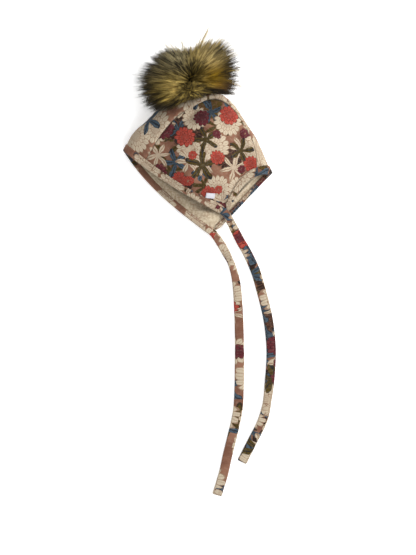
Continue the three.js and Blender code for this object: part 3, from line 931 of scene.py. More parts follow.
# How a tie is made, in millimetres
TIE_RING = 32  # points round it
TIE_STEP = 1.1  # from one ring to the next
TIE_STARTS = np.array([0.945, 0.975])  # the shares of its edge at which its middle line starts
TIE_PROUD = 0.35  # how far its sleeve stands out of the binding's leaf
TIE_TURNS = (6, 26)  # where it starts to lie down, and over what length
TIE_FLATTENS = (8, 22)
TIE_HEM = {"at": 8, "wide": 0.7, "deep": 0.9}
TIE_END = {"round": 1.4, "narrow": 1.6, "flare": 0.03, "flare_wide": 5}
TIE_SEAM = {"deep": 0.55, "wide": 0.5, "start": (10, 12)}
TIE_RIDGE = {"tall": 0.3, "beside": 1.5, "wide": 0.9}
TIE_PINCH = {"turn": 0.5, "wide": 9, "long": 7}
TIE_PRINT_START = 0.472  # where on the edge the tie's print starts, from its middle


def tie_section():
    """The flat section of a folded tie, from its outer fold over the top: shares across and in height."""
    angle = np.linspace(0, 2 * math.pi, TIE_RING, endpoint=False)
    across = np.sign(np.cos(angle)) * np.abs(np.cos(angle)) ** 0.5 / 2
    height = np.sign(np.sin(angle)) * np.abs(np.sin(angle)) ** 0.6 / 2
    return across, height


def way_in_tie(edge_v, side, sizes):
    """The points that a tie starts from, in the middle of the leaf of the face binding that is seen."""
    v = edge_v * TIE_STARTS
    s = np.zeros(2)
    outer = edge_v < 0
    wide = binding_width(s, v, np.full(2, outer), sizes)
    top = BINDING_OUT + TIE_PROUD if outer else BINDING_IN - TIE_PROUD
    points = in_from(s, v, wide * 0.5 - 0.4, np.full(2, top - side * TIE_SLEEVE / 2))
    return points, frame_at(s, v)[3][0] * side


def make_tie(name, edge_v, points, widths, sizes, seam, pinch_at):
    """A folded tie: a flat soft tube that runs on from the binding, with a lengthwise seam and a hem."""
    side_out = 1 if edge_v < 0 else -1
    first, leaf_up = way_in_tie(edge_v, side_out, sizes)
    line, length = spline_points(np.vstack([first, points]), TIE_STEP)
    count = len(line)
    along = np.linspace(0, length, count)
    to_end = length - along
    tangent = unit(np.gradient(line, axis=0))
    upward = mix(leaf_up, np.array([0.0, 0.0, 1.0]), ease(along, *TIE_TURNS)[:, None])
    side = unit(np.cross(tangent, upward))
    up = np.cross(side, tangent)

    # Each ring's width, depth and roll, and the way of the seam
    wide = sizes.tie_width / MM
    thick = sizes.tie_thickness / MM
    share, place = np.array(widths).T[::-1]
    full = np.interp(along, place, share)
    shut = np.sqrt(1 - (1 - np.clip(to_end / TIE_END["round"], 0, 1)) ** 2)
    width = wide * full * (1 + 0.02 * waves(along, along * 0, 1.0, 31, 11))
    width = width * (1 + TIE_END["flare"] * hump(to_end, TIE_END["flare_wide"]))
    width = width - TIE_END["narrow"] * (1 - shut)
    deep = thick * (1 + 0.06 * waves(along, along * 0, 1.0, 17, 12))
    deep = mix(TIE_SLEEVE, deep, ease(along, *TIE_FLATTENS))
    deep = (deep - TIE_HEM["deep"] * hump(to_end - TIE_HEM["at"], TIE_HEM["wide"])) * np.maximum(shut, 0.02)
    pinch = TIE_PINCH["turn"] * hump(along - pinch_at, TIE_PINCH["wide"])
    roll = pinch * np.sin((along - pinch_at) / TIE_PINCH["long"])
    roll = roll + 0.03 * waves(along, along * 0, 1.0, 45, 13)
    wander = seam * full + 0.3 * waves(along, along * 0, 1.0, 23, 14)
    seam_deep = ease(along, *TIE_SEAM["start"])

    obj, a, b = new_grid(name, TIE_RING, count - 1)
    ring_index = np.round(a * TIE_RING).astype(int)
    row = np.round(b * (count - 1)).astype(int)
    across0, height0 = (part[ring_index % TIE_RING] for part in tie_section())
    across = across0 * width[row]
    top = (height0 > 0) & (across0 > -0.5)
    aside = across - wander[row]
    groove = TIE_SEAM["deep"] * hump(aside, TIE_SEAM["wide"])
    ridge = TIE_RIDGE["tall"] * hump(aside - TIE_RIDGE["beside"], TIE_RIDGE["wide"])
    crinkle = waves(across * 2.2, along[row], 0.18, 6.5, 15) + waves(across, along[row], 0.2, 15, 16)
    relief = ((ridge - groove) * seam_deep[row] + crinkle) * shut[row]
    height = height0 * deep[row] + np.where(top, relief * smooth(height0 * 5), 0)
    turned_across = across * np.cos(roll[row]) - height * np.sin(roll[row])
    turned_height = across * np.sin(roll[row]) + height * np.cos(roll[row])
    points = line[row] + side[row] * turned_across[:, None] + up[row] * turned_height[:, None]
    place_vertices(obj, keep_above(points))

    # The print's own coordinates: along the tie, and across from its outer fold over the top
    start = edge_table(0.0)[1][-1] * (0.5 + TIE_PRINT_START * edge_v)
    round_it = 2 * (wide + thick)
    over = ring_index / TIE_RING * round_it
    over = np.where(a < 0.75, -over, round_it - over)
    write_uv(obj, start + along[row] * edge_v, over)
    cap_tube(obj)
    return obj, line


def cap_tube(obj):
    """Closes a tube that was rolled from a grid: its long edges are merged and its ends filled."""
    mesh = bmesh.new()
    mesh.from_mesh(obj.data)
    bmesh.ops.remove_doubles(mesh, verts=mesh.verts, dist=1e-6)
    bmesh.ops.holes_fill(mesh, edges=[edge for edge in mesh.edges if edge.is_boundary], sides=0)
    bmesh.ops.recalc_face_normals(mesh, faces=mesh.faces)
    mesh.to_mesh(obj.data)
    mesh.free()
    shade_smooth(obj)


class TiesOperator(bpy.types.Operator):
    """Makes the two flat ties that run on from the bindings at the chin"""

    bl_idname = "bonnet.ties"
    bl_label = "Ties"

    def execute(self, context):
        sizes = context.scene.bonnet_sizes
        ties = (
            # name, node, end of the edge, points, widths, length, seam across, pinch along
            ("tie_near", "tie_upper", -1, NEAR_TIE, NEAR_WIDTH, sizes.near_tie, -3.6, -60.0),
            ("tie_far", "tie_lower", 1, FAR_TIE, FAR_WIDTH, sizes.far_tie, -1.2, 55.0),
        )
        for name, node, edge_v, points, widths, length, seam, pinch_at in ties:
            obj, line = make_tie(name, edge_v, points, widths, sizes, seam, pinch_at)
            dress(obj, bpy.data.materials["floral_" + name], (node,))
            path = [tuple(point * MM) for point in line[:: max(1, len(line) // 60)]]
            path.append(tuple(line[-1] * MM))
            tuple(line[0] * MM)
        return {"FINISHED"}


def seam_v(s, near, aside=0.0):
    """The parameter of a layer's seam, from 0 at the outline to 1 at the chin."""
    return share_at(s, near, ray("seam_near" if near else "seam_far", s) + aside)


def upper_v(s, f):
    """Where a panel's rows lie on their rays, as for the next two: f runs across the panel from 0 to 1."""
    return -mix(1, seam_v(s, True, SEAM_GAP), f)


def crown_v(s, f):
    return mix(-seam_v(s, True, -SEAM_GAP), seam_v(s, False, -SEAM_GAP), f)


def lower_v(s, f):
    return mix(seam_v(s, False, SEAM_GAP), 1, f)


def spread(f, tight=0.55):
    """Even shares, drawn a little towards both ends."""
    return mix(f, 0.5 - 0.5 * np.cos(math.pi * f), tight)


def make_panel(name, across_v, columns, rows, height_of, thickness, uv_of):
    """A panel of jersey: a grid laid on the cloth at its own height, then given its thickness."""
    obj, a, b = new_grid(name, columns, rows)
    s = spread(a)
    v = across_v(s, spread(b, 0.35))
    points = offset(s, v, height_of(s, v))
    if height_of is crown_height:
        toward_chin = -unit(frame_at(s, v)[2])
        points = points + toward_chin * overhang(s, v)[:, None]
    place_vertices(obj, keep_above(points))
    write_uv(obj, *uv_of(s, v))
    solidify(obj, thickness)
    return obj


def from_seam(s, v):
    """How far a point is from its layer's seam, in plan."""
    return np.abs(np.where(v < 0, ray("seam_near", s), ray("seam_far", s)) - distance_at(s, v)[0])


def plan_uv(s, v):
    """The print's coordinates on a side panel or the lining: its plan."""
    point = cloth(s, v)
    return point[:, 0], point[:, 1]


CROWN_PRINT = 215  # the print's width from edge to edge of the crown panel, in millimetres


def crown_uv(s, v):
    """The print's coordinates on the crown panel: along it, and over the round outline."""
    distance, _ = distance_at(s, v)
    over = np.minimum(1, np.abs(v) / FOLD_SHARE) * math.pi / 2
    arc = np.where(distance < FOLD_ROUND, FOLD_ROUND * over, distance + FOLD_ROUND * (math.pi / 2 - 1))
    return (s - 0.5) * CROWN_PRINT, -np.sign(v) * arc


# The soft relief of the jersey: how far its seam's groove reaches, the size, length, start from the
# seam and seed of its slow and its fine waves, how much those run on over the round outline, and the
# size and seed of the gathers at the seam
SIDE_RELIEF = {
    "groove": 1.3, "slow": (1.15, 34, 12, 21), "fine": (0.45, 13, 6, 22), "round": 0, "gather": (0.3, 23),
}
CROWN_RELIEF = {
    "groove": 1.1, "slow": (0.7, 30, 10, 31), "fine": (0.3, 12, 6, 32), "round": 1, "gather": (0.35, 33),
}
GROOVE_DEEP = 0.55
GATHER_PITCH = 9
GATHER_REACH = 6
CALM_EDGE = (11, 10)  # how far from a binding the waves start, and over what distance they grow
DEEPEST_WAVE = -0.35


def relief_at(s, v, relief):
    """The jersey's height over its even layer: a groove at the seam, soft waves and gathers."""
    x, y, z = cloth(s, v).T
    away = from_seam(s, v)
    distance, long = distance_at(s, v)
    calm = ease(from_bound_edge(s, distance / long), *CALM_EDGE)
    size, pitch, start, seed = relief["slow"]
    slow = waves(x, y, size, pitch, seed) * smooth(away / start)
    size, pitch, start, seed = relief["fine"]
    fine = waves(x + z * relief["round"], y, size, pitch, seed) * smooth(away / start)
    size, seed = relief["gather"]
    gathers = puckers(s * CROWN_LENGTH, away, size, GATHER_PITCH, GATHER_REACH, seed) * calm
    groove = GROOVE_DEEP * np.exp(-away / relief["groove"])
    return np.maximum((slow + fine) * calm, DEEPEST_WAVE) + gathers - groove


def side_height(s, v):
    return JERSEY_OUT + relief_at(s, v, SIDE_RELIEF)


# The pleat at the crown: where along the edge it is highest, how wide, how high and how far it hangs
# over, how far that reaches, and the round of the crown panel's edge
PLEAT = {"at": 0.525, "wide": 0.09, "lift": 4.4, "over": 4.4, "reach": 6.0, "round": 3.5, "back": 5}


def pleat_at(s, v):
    return np.where(v < 0, hump(s - PLEAT["at"], PLEAT["wide"]), 0)


def overhang(s, v):
    """How far the crown panel's rolled edge hangs over the side panel."""
    away = from_seam(s, v) / PLEAT["reach"]
    return PLEAT["over"] * pleat_at(s, v) * np.sin(math.pi * np.clip(away, 0, 1)) ** 0.8


def crown_height(s, v):
    away = from_seam(s, v)
    roll = np.sqrt(1 - (1 - np.minimum(away / PLEAT["round"], 1)) ** 2)
    pleat = PLEAT["lift"] * pleat_at(s, v) * hump(away - PLEAT["round"], PLEAT["back"])
    return JERSEY_OUT + (puff_at(s, v) + pleat) * roll + relief_at(s, v, CROWN_RELIEF)


class PanelsOperator(bpy.types.Operator):
    """Makes the printed jersey: the crown panel and the side panel of each layer"""

    bl_idname = "bonnet.panels"
    bl_label = "Jersey panels"

    def execute(self, context):
        thickness = context.scene.bonnet_sizes.jersey / MM
        panels = (
            # name, node, parameters, columns, rows, height, coordinates, slot
            ("jersey_side_upper", "side_panel_upper", upper_v, 190, 110, side_height, plan_uv, "print_upper"),
            ("jersey_side_lower", "side_panel_lower", lower_v, 120, 64, side_height, plan_uv, "print_lower"),
            ("jersey_crown", "crown_panel", crown_v, 210, 96, crown_height, crown_uv, "print_crown"),
        )
        for name, node, across_v, columns, rows, height_of, uv_of, slot in panels:
            obj = make_panel(name, across_v, columns, rows, height_of, thickness, uv_of)
            dress(obj, bpy.data.materials[slot.replace("print", "floral")], (node,))
        return {"FINISHED"}


class LiningOperator(bpy.types.Operator):
    """Makes the fleece lining inside the jersey, with its raised nap"""

    bl_idname = "bonnet.lining"
    bl_label = "Lining"

    def execute(self, context):
        colours = context.scene.bonnet_colours
        thickness = context.scene.bonnet_sizes.lining / MM
        obj, a, b = new_grid("fleece_lining", 140, 150)
        s = spread(a)
        v = mix(-1, 1, b)
        place_vertices(obj, offset(s, v, np.full_like(s, LINING_OUT)))
        write_uv(obj, *plan_uv(s, v))
        solidify(obj, thickness)
        raise_nap(obj, s, v)
        dress(obj, fleece_material("fleece", colours), ("lining",))
        return {"FINISHED"}


# Soft swells of the fleece on the lower layer's inner face: where the crest is, how far it reaches
# along itself, below and above, the crest's bearing and its lift
FLEECE_SWELLS = (
    # x, y, across, below, above, bearing, lift
    (11, -96.2, 12, 9, 1.3, -2, 4.0),
    (-30, -70, 34, 6, 6, -38, 3.0),
    (51.5, -77, 22, 3.2, 4.5, 47, 6.5),
)
SWELL_EDGE = (5.5, 3.0)  # how far from a binding the swells start, and over what distance they grow


def raise_nap(obj, s, v):
    """Moves the fleece's inner face in and out: slow swells, and a brushed nap that lies in clumps."""
    mesh = obj.data
    count = len(mesh.vertices)
    co = np.empty(count * 3)
    normals = np.empty(count * 3)
    mesh.vertices.foreach_get("co", co)
    mesh.vertices.foreach_get("normal", normals)
    co = co.reshape(-1, 3)
    normals = normals.reshape(-1, 3)
    half = count // 2
    x, y, z = (co[half:] / MM).T
    nap = waves(x + z, y, 0.3, 5.0, 41) + waves(x, y - z, 0.22, 2.6, 42)
    swell = 0
    for at_x, at_y, wide, below, above, bearing, lift in FLEECE_SWELLS:
        turn = math.radians(bearing)
        u = (x - at_x) * math.cos(turn) + (y - at_y) * math.sin(turn)
        w = (y - at_y) * math.cos(turn) - (x - at_x) * math.sin(turn)
        swell = swell + lift * hump(u, wide) * hump(w, np.where(w > 0, above, below))
    distance, long = distance_at(s, v)
    edge = ease(from_bound_edge(s, distance / long), *SWELL_EDGE)
    swell = swell * np.where(v > FOLD_SHARE, edge, 0)
    co[half:] += normals[half:] * ((nap + swell) * MM)[:, None]
    mesh.vertices.foreach_set("co", co.ravel())
    mesh.update()


# The stitch rows of each leaf, from its inner seam, and how they press it, in millimetres
OUTER_ROWS = (0.9, 3.3)
INNER_ROWS = (0.7, 2.7)
PRESS = {"deep": 0.34, "wide": 0.6}
TUCK = {"deep": 0.5, "wide": 0.5}
LEAF_SWELL = {"lift": 0.26, "start": (3.5, 3)}
LEAF_GATHERS = {"from": 2, "size": 0.22, "pitch": 5.5, "reach": 4}
LEAF_SHARE = 0.41  # the share of a binding's rows that each leaf takes
INNER_NECK = 0.72  # the width of the inner leaf at the far neck edge, as a share of the others
LEAF_PRINT_GAP = 4  # the print between the two leaves, hidden in the lip
BINDING_GRID = (300, 36)


def binding_profile(b):
    """The distance as (share of the width, millimetres) and the height at b, from 0 outside to 1 inside."""
    outer = b < LEAF_SHARE
    inner = b > 1 - LEAF_SHARE
    f = np.where(outer, b / LEAF_SHARE, (1 - b) / LEAF_SHARE)
    turn = np.clip((b - LEAF_SHARE) / (1 - 2 * LEAF_SHARE), 0, 1) * math.pi
    share = np.where(outer | inner, 1 - f, 0)
    beyond = np.where(outer | inner, 0, BINDING_LIP * np.sin(turn))
    middle = (BINDING_OUT + BINDING_IN) / 2
    half = (BINDING_OUT - BINDING_IN) / 2
    height = np.where(outer, BINDING_OUT, np.where(inner, BINDING_IN, middle + half * np.cos(turn)))
    return share, beyond, height


def binding_height(share, height, wide, along, seed):
    """Presses the leaf down along its stitch rows and at its inner seam, and lets it swell between them."""
    seam = (1 - share) * wide
    press = 0
    for outer_row, inner_row in zip(OUTER_ROWS, INNER_ROWS):
        press = press + PRESS["deep"] * hump(seam - np.where(height > 0, outer_row, inner_row), PRESS["wide"])
    tuck = TUCK["deep"] * hump(seam, TUCK["wide"])
    swell = LEAF_SWELL["lift"] * ease(seam, *LEAF_SWELL["start"])
    away = np.abs(seam - LEAF_GATHERS["from"])
    ripple = puckers(along, away, LEAF_GATHERS["size"], LEAF_GATHERS["pitch"], LEAF_GATHERS["reach"], seed)
    ripple = ripple + waves(along, seam, 0.2, 21, seed + 1)
    body = np.minimum(np.abs(height) / 3, 1)
    return height + np.sign(height) * body * (swell + ripple * smooth(seam / 1.2) - press - tuck)


def edge_table(s_edge):
    """Rising values of v on an edge, and the length along it up to each."""
    v = np.linspace(-1, 1, 800)
    return v, lengths_along(cloth(np.full_like(v, s_edge), v))


def binding_width(s, v, outer, sizes):
    """The width of a leaf: narrower towards the chin, where the two bindings meet."""
    widest = np.where(s > 0.5, MITRE["neck"], MITRE["face"]) / np.abs(way_in(s, v)[0])
    inner = sizes.binding_inside * np.where((s > 0.5) & (v > 0), INNER_NECK, 1)
    return np.minimum(np.where(outer, sizes.binding, inner) / MM, widest)


def make_binding(name, s_edge, sizes, seed):
    """A binding folded round an edge: its outer leaf, its lip and its inner leaf."""
    obj, a, b = new_grid(name, *BINDING_GRID)
    v = mix(-1, 1, a)
    if s_edge < 0.5:
        b = 1 - b
    along = np.interp(v, *edge_table(s_edge))
    s = np.full_like(v, s_edge)
    width = binding_width(s, v, b < 0.5, sizes)
    share, beyond, height = binding_profile(b)
    height = binding_height(share, height, width, along, seed)
    place_vertices(obj, keep_above(in_from(s, v, share * width - beyond, height)))
    leaf = share * width + beyond
    write_uv(obj, along, np.where(b < 0.5, leaf + LEAF_PRINT_GAP, -leaf))
    fix_normals_outward(obj, s_edge)
    solidify(obj, BINDING_WALL)
    return obj


def fix_normals_outward(obj, s_edge):
    """Turns the sheet over if its lip faces inwards, halfway along it."""
    mesh = obj.data
    lip = mesh.polygons[(len(mesh.polygons) + BINDING_GRID[0]) // 2]
    inside = cloth(np.array([0.5 + (s_edge - 0.5) * 0.9]), np.array([0.0]))[0]
    if np.dot(np.array(lip.normal), inside - np.array(lip.center) / MM) > 0:
        mesh.flip_normals()


class BindingsOperator(bpy.types.Operator):
    """Makes the folded bindings round the face edge and the neck edge"""

    bl_idname = "bonnet.bindings"
    bl_label = "Bindings"

    def execute(self, context):
        sizes = context.scene.bonnet_sizes
        bindings = (
            ("binding_face", "face_binding", 0.0, "print_face_binding", 51),
            ("binding_neck", "neck_binding", 1.0, "print_neck_binding", 61),
        )
        for name, node, s_edge, slot, seed in bindings:
            obj = make_binding(name, s_edge, sizes, seed)
            dress(obj, bpy.data.materials[slot.replace("print", "floral")], (node,))
        return {"FINISHED"}


def stitch_shape():
    """One stitch: a capsule of thread a unit long, as points and triangles."""
    deselect()
    bpy.ops.mesh.primitive_uv_sphere_add(segments=6, ring_count=5, radius=0.5)
    obj = bpy.context.object
    mesh = bmesh.new()
    mesh.from_mesh(obj.data)
    bmesh.ops.triangulate(mesh, faces=mesh.faces)
    points = np.array([vertex.co[:] for vertex in mesh.verts])
    faces = np.array([[vertex.index for vertex in face.verts] for face in mesh.faces])
    mesh.free()
    bpy.data.objects.remove(obj)
    return points[:, [2, 0, 1]], faces


def copy_shape(points, faces, places, along, up, size):
    """The shape at each place, turned along its own directions, as one mesh's points and faces."""
    side = unit(np.cross(up, along))
    up = unit(np.cross(along, side))
    axes = np.stack([along * size[0], side * size[1], up * size[2]], axis=1)
    many = np.einsum("pk,nkc->npc", points, axes) + places[:, None, :]
    steps = (np.arange(len(places)) * len(points))[:, None, None]
    return many.reshape(-1, 3), (faces[None] + steps).reshape(-1, 3)


class StitchesOperator(bpy.types.Operator):
    """Sews each binding: two rows of topstitches outside, and the looper thread between two rows inside"""

    bl_idname = "bonnet.stitches"
    bl_label = "Topstitches"

    def execute(self, context):
        sizes = context.scene.bonnet_sizes
        colours = context.scene.bonnet_colours
        thread = thread_material("thread", colours.thread, colours.thread_dark)
        for name, s_edge, seed in (("topstitch_face", 0.0, 51), ("topstitch_neck", 1.0, 61)):
            rows = [stitch_row(s_edge, row, True, sizes, seed) for row in OUTER_ROWS]
            inner = [stitch_row(s_edge, row, False, sizes, seed) for row in INNER_ROWS]
            rows = rows + inner + [looper_row(inner)]
            obj = sew(name, rows)
            dress(obj, thread)
        return {"FINISHED"}


# The width and height of each thread in millimetres, the label's with its length, and how far the
# stitches stand out of the cloth
OUTER_THREAD = (0.42, 0.4)
INNER_THREAD = (0.75, 0.45)
LOOPER_THREAD = (0.55, 0.42)
LABEL_STITCH = (1.15, 0.26, 0.26)
THREAD_PROUD = 0.1
STITCHED = (0.012, 0.992)  # the shares of an edge between which it is stitched


def stitch_row(s_edge, row, outer, sizes, seed):
    """Places, directions, outward directions and size of the stitches along one row of a binding."""
    table_v, table_along = edge_table(s_edge)
    pitch = sizes.stitch_pitch / MM
    start, end = (table_along[-1] * share for share in STITCHED)
    along = np.linspace(start, end, int(table_along[-1] / pitch))
    v = np.interp(along, table_along, table_v)
    s = np.full_like(v, s_edge)
    width = binding_width(s, v, outer, sizes)
    share = 1 - np.minimum(row, width * 0.6) / width
    height = np.full_like(v, BINDING_OUT if outer else BINDING_IN)
    height = binding_height(share, height, width, along, seed) + (THREAD_PROUD if outer else -THREAD_PROUD)
    places = in_from(s, v, share * width, height)
    normal = frame_at(s, v)[3]
    size = (sizes.stitch / MM, *OUTER_THREAD) if outer else (pitch * 1.05, *INNER_THREAD)
    return places, unit(np.gradient(places, axis=0)), normal if outer else -normal, size


def looper_row(rows):
    """Slanted thread that runs to and fro between two rows of stitches."""
    low, high = rows[0][0], rows[1][0]
    ends = np.stack([low[:-1], high[:-1] * 0.5 + high[1:] * 0.5, low[1:]], axis=1)
    start = np.concatenate([ends[:, 0], ends[:, 1]])
    stop = np.concatenate([ends[:, 1], ends[:, 2]])
    up = np.concatenate([rows[0][2][:-1]] * 2)
    length = float(np.median(np.linalg.norm(stop - start, axis=1)))
    return (start + stop) / 2, unit(stop - start), up, (length * 1.05, *LOOPER_THREAD)


def sew(name, rows):
    """One mesh of capsules of thread from rows of places, directions, outward directions and sizes."""
    shape, faces = stitch_shape()
    all_points = []
    all_faces = []
    total = 0
    for places, forward, up, size in rows:
        points, triangles = copy_shape(shape, faces, places, forward, up, size)
        all_points.append(keep_above(points))
        all_faces.append(triangles + total)
        total += len(points)
    return mesh_object(name, np.vstack(all_points), np.vstack(all_faces))


# Where the label lies on the cloth, its turn in plan, its size and how far it stands above the jersey,
# then the share of the strip that each leaf takes, where it folds, the height of its front leaf and its
# back leaf and its ribs, and last its rows of stitches
LABEL = {"s": 0.288, "v": -0.86, "turn": -13, "wide": 10.8, "tall": 6.8, "above": 1.0}
LABEL_LEAF = {"share": 0.46, "fold": -0.44, "front": 0.38, "back": -0.3, "rib": 0.04, "rib_pitch": 0.9}
LABEL_PRINT_GAP = 9.0
LABEL_WALL = 0.22
LABEL_ROWS = {"in": 0.8, "low": -2.4, "high": 2.6, "stitches": 5, "height": 0.42}


def label_curl(x, y):
    """How far the label bends down towards the cloth: at its ends, and where its upper edge is sewn."""
    return 0.3 * (x / LABEL["wide"] * 2) ** 2 + 0.35 * smooth((y / LABEL["tall"] + 0.1) * 1.6)


class LabelOperator(bpy.types.Operator):
    """Makes the bare folded label that is sewn beside the face binding"""

    bl_idname = "bonnet.label"
    bl_label = "Label"

    def execute(self, context):
        colours = context.scene.bonnet_colours
        point, _, _, out = (part[0] for part in frame_at(np.array([LABEL["s"]]), np.array([LABEL["v"]])))
        turn = math.radians(LABEL["turn"])
        right = np.array([math.cos(turn), math.sin(turn), 0])
        right = unit(right - out * np.dot(right, out))
        up = np.cross(out, right)
        middle = point + out * (JERSEY_OUT + LABEL["above"])

        # A strip folded in half: its front leaf, the fold at the lower edge and its back leaf
        obj, a, b = new_grid("label_tape", 30, 44)
        leaf, fold = LABEL_LEAF["share"], LABEL_LEAF["fold"]
        front = b < leaf
        back = b > 1 - leaf
        turned = np.clip((b - leaf) / (1 - 2 * leaf), 0, 1) * math.pi
        y = fold - (0.5 + fold) * np.sin(turned)
        y = np.where(front, mix(0.5, fold, b / leaf), y)
        y = np.where(back, mix(fold, 0.5, (b - 1 + leaf) / leaf), y) * LABEL["tall"]
        high, low = LABEL_LEAF["front"], LABEL_LEAF["back"]
        z = (high + low) / 2 + (high - low) / 2 * np.cos(turned)
        z = np.where(front, high, np.where(back, low, z))
        x = (a - 0.5) * LABEL["wide"]
        rib = LABEL_LEAF["rib"] * np.cos(y * 2 * math.pi / LABEL_LEAF["rib_pitch"])
        out_by = z - label_curl(x, y) + np.where(front, rib, 0)
        place_vertices(obj, middle + right * x[:, None] + up * y[:, None] + out * out_by[:, None])
        write_uv(obj, x, y + np.where(back, LABEL_PRINT_GAP, 0.0))
        if np.dot(np.array(obj.data.polygons[5].normal), out) < 0:
            obj.data.flip_normals()
        solidify(obj, LABEL_WALL)
        dress(obj, label_material("woven_label", colours), ("label",))

        end = LABEL["wide"] / 2 - LABEL_ROWS["in"]
        rows = np.linspace(LABEL_ROWS["low"], LABEL_ROWS["high"], LABEL_ROWS["stitches"])
        x, y = (part.ravel()[:, None] for part in np.meshgrid((-end, end), rows))
        places = middle + right * x + up * y + out * (LABEL_ROWS["height"] - label_curl(x, y))
        along, outward = (np.tile(direction, (len(places), 1)) for direction in (up, out))
        obj = sew("label_stitches", [(places, along, outward, LABEL_STITCH)])
        dress(obj, thread_material("label_thread", colours.label, colours.label_dark))
        return {"FINISHED"}


# The grid of plan points under the fur and the height where there is no cloth, in millimetres, and the
# height in metres that the rays start from
UNDER_FUR = {"x": (-94, 96), "y": (-30, 60), "step": 2.0, "bare": -50.0, "from": 0.2}


def height_under(x, y):
    """The top of the bonnet's cloth below each plan point, or far below where there is none."""
    step = UNDER_FUR["step"]
    xs = np.arange(*UNDER_FUR["x"], step)
    ys = np.arange(*UNDER_FUR["y"], step)
    top = np.full((len(xs), len(ys)), UNDER_FUR["bare"])
    for name in ("jersey_side_upper", "jersey_crown", "binding_face"):
        mesh = bpy.data.objects[name].data
        tree = BVHTree.FromPolygons(
            [vertex.co[:] for vertex in mesh.vertices],
            [polygon.vertices[:] for polygon in mesh.polygons],
        )
        for i, px in enumerate(xs):
            for k, py in enumerate(ys):
                hit = tree.ray_cast(Vector((px * MM, py * MM, UNDER_FUR["from"])), Vector((0, 0, -1)))[0]
                if hit is not None:
                    top[i, k] = max(top[i, k], hit.z / MM)
    i = np.clip((x - xs[0]) / step, 0, len(xs) - 1.001).astype(int)
    k = np.clip((y - ys[0]) / step, 0, len(ys) - 1.001).astype(int)
    return np.stack([top[i, k], top[i + 1, k], top[i, k + 1], top[i + 1, k + 1]]).max(axis=0)


def rim_column(bearing, column):
    """A column of FUR_RIM at a bearing in radians."""
    rows = np.array(FUR_RIM)
    return np.interp(np.degrees(bearing) % 360, rows[:, 0], rows[:, column])


ROOT_REACH = 0.3  # the share of a strand that its dark root takes
TIP_START = (0.3, 0.3)  # where along a strand its tip starts to darken, and over what share
RIM_START = (0.64, 0.2)  # the same from the fur's middle to its rim
EVEN_TONE = 1.1


def fur_shade(colours, x, y, share, tip_dark, tone):
    """The colour of fur at a plan place, at a share of a strand's length."""
    base = np.tile(np.array(colours.fur_khaki), (len(x), 1))
    for px, py, wide, name, strong, even in FUR_PATCHES:
        near = strong * np.exp(-(((x - px) ** 2 + (y - py) ** 2) / wide**2) ** 1.5)
        base = mix(base, np.array(getattr(colours, name)), near[:, None])
        tone = mix(tone, EVEN_TONE, near * even)
    # Dark roots: the fur's own darker base, with painted shade deep in the fur near the parting
    base = mix(np.array(colours.fur_root), base * tone[:, None], smooth(share / ROOT_REACH))
    from_x = x - FUR_MIDDLE[0]
    from_y = y - FUR_MIDDLE[1]
    rim = np.hypot(from_x, from_y) / rim_column(np.arctan2(from_y, from_x), 1)
    dark = ease(share, *TIP_START) * ease(rim, *RIM_START) * tip_dark
    return mix(base, np.array(colours.fur_tip), dark[:, None])


STRAND_SIDES = 3
STRAND_SHARES = (0.0, 0.36, 0.74, 1.0)
STRAND_TAPER = (1.0, 0.75)  # the thickness of each ring between the ends, as a share


def strand_mesh(name, curve, width, shades):
    """Closed tapered strands from their curves: a point at each end and a ring at each share between."""
    count = curve.shape[0]
    inner = len(STRAND_TAPER)
    tangent = unit(curve[:, 2:] - curve[:, :-2])
    helper = unit(np.random.default_rng(97).normal(size=(count, 1, 3)))
    side = unit(np.cross(tangent, helper))
    other = np.cross(tangent, side)
    taper = np.array(STRAND_TAPER)[None, :, None, None]
    angles = 2 * math.pi * np.arange(STRAND_SIDES) / STRAND_SIDES
    ring = side[:, :, None, :] * np.cos(angles)[None, None, :, None]
    ring = ring + other[:, :, None, :] * np.sin(angles)[None, None, :, None]
    ring = curve[:, 1:-1, None, :] + ring * taper * width[:, None, None, None] / 2
    points = np.concatenate([curve[:, :1], ring.reshape(count, -1, 3), curve[:, -1:]], axis=1)
    keep_above(points, STRAND_GAP)

    each = inner * STRAND_SIDES + 2
    faces = []
    for k in range(STRAND_SIDES):
        n = (k + 1) % STRAND_SIDES
        faces.append((0, 1 + n, 1 + k))
        for r in range(inner - 1):
            a = 1 + r * STRAND_SIDES
            b = a + STRAND_SIDES
            faces.append((a + k, a + n, b + n))
            faces.append((a + k, b + n, b + k))
        a = 1 + (inner - 1) * STRAND_SIDES
        faces.append((a + k, a + n, each - 1))
    faces = np.array(faces)[None] + (np.arange(count) * each)[:, None, None]
    obj = mesh_object(name, points.reshape(-1, 3), faces.reshape(-1, 3))
    share_of_point = np.repeat(np.arange(inner + 2), [1] + [STRAND_SIDES] * inner + [1])
    paint(obj, shades[:, share_of_point].reshape(-1, 3))
    return obj


def paint(obj, shades):
    attribute = obj.data.color_attributes.new("fur_colour", "FLOAT_COLOR", "POINT")
    rgba = np.concatenate([np.clip(shades, 0, 1), np.ones((len(shades), 1))], axis=1)
    attribute.data.foreach_set("color", rgba.ravel())


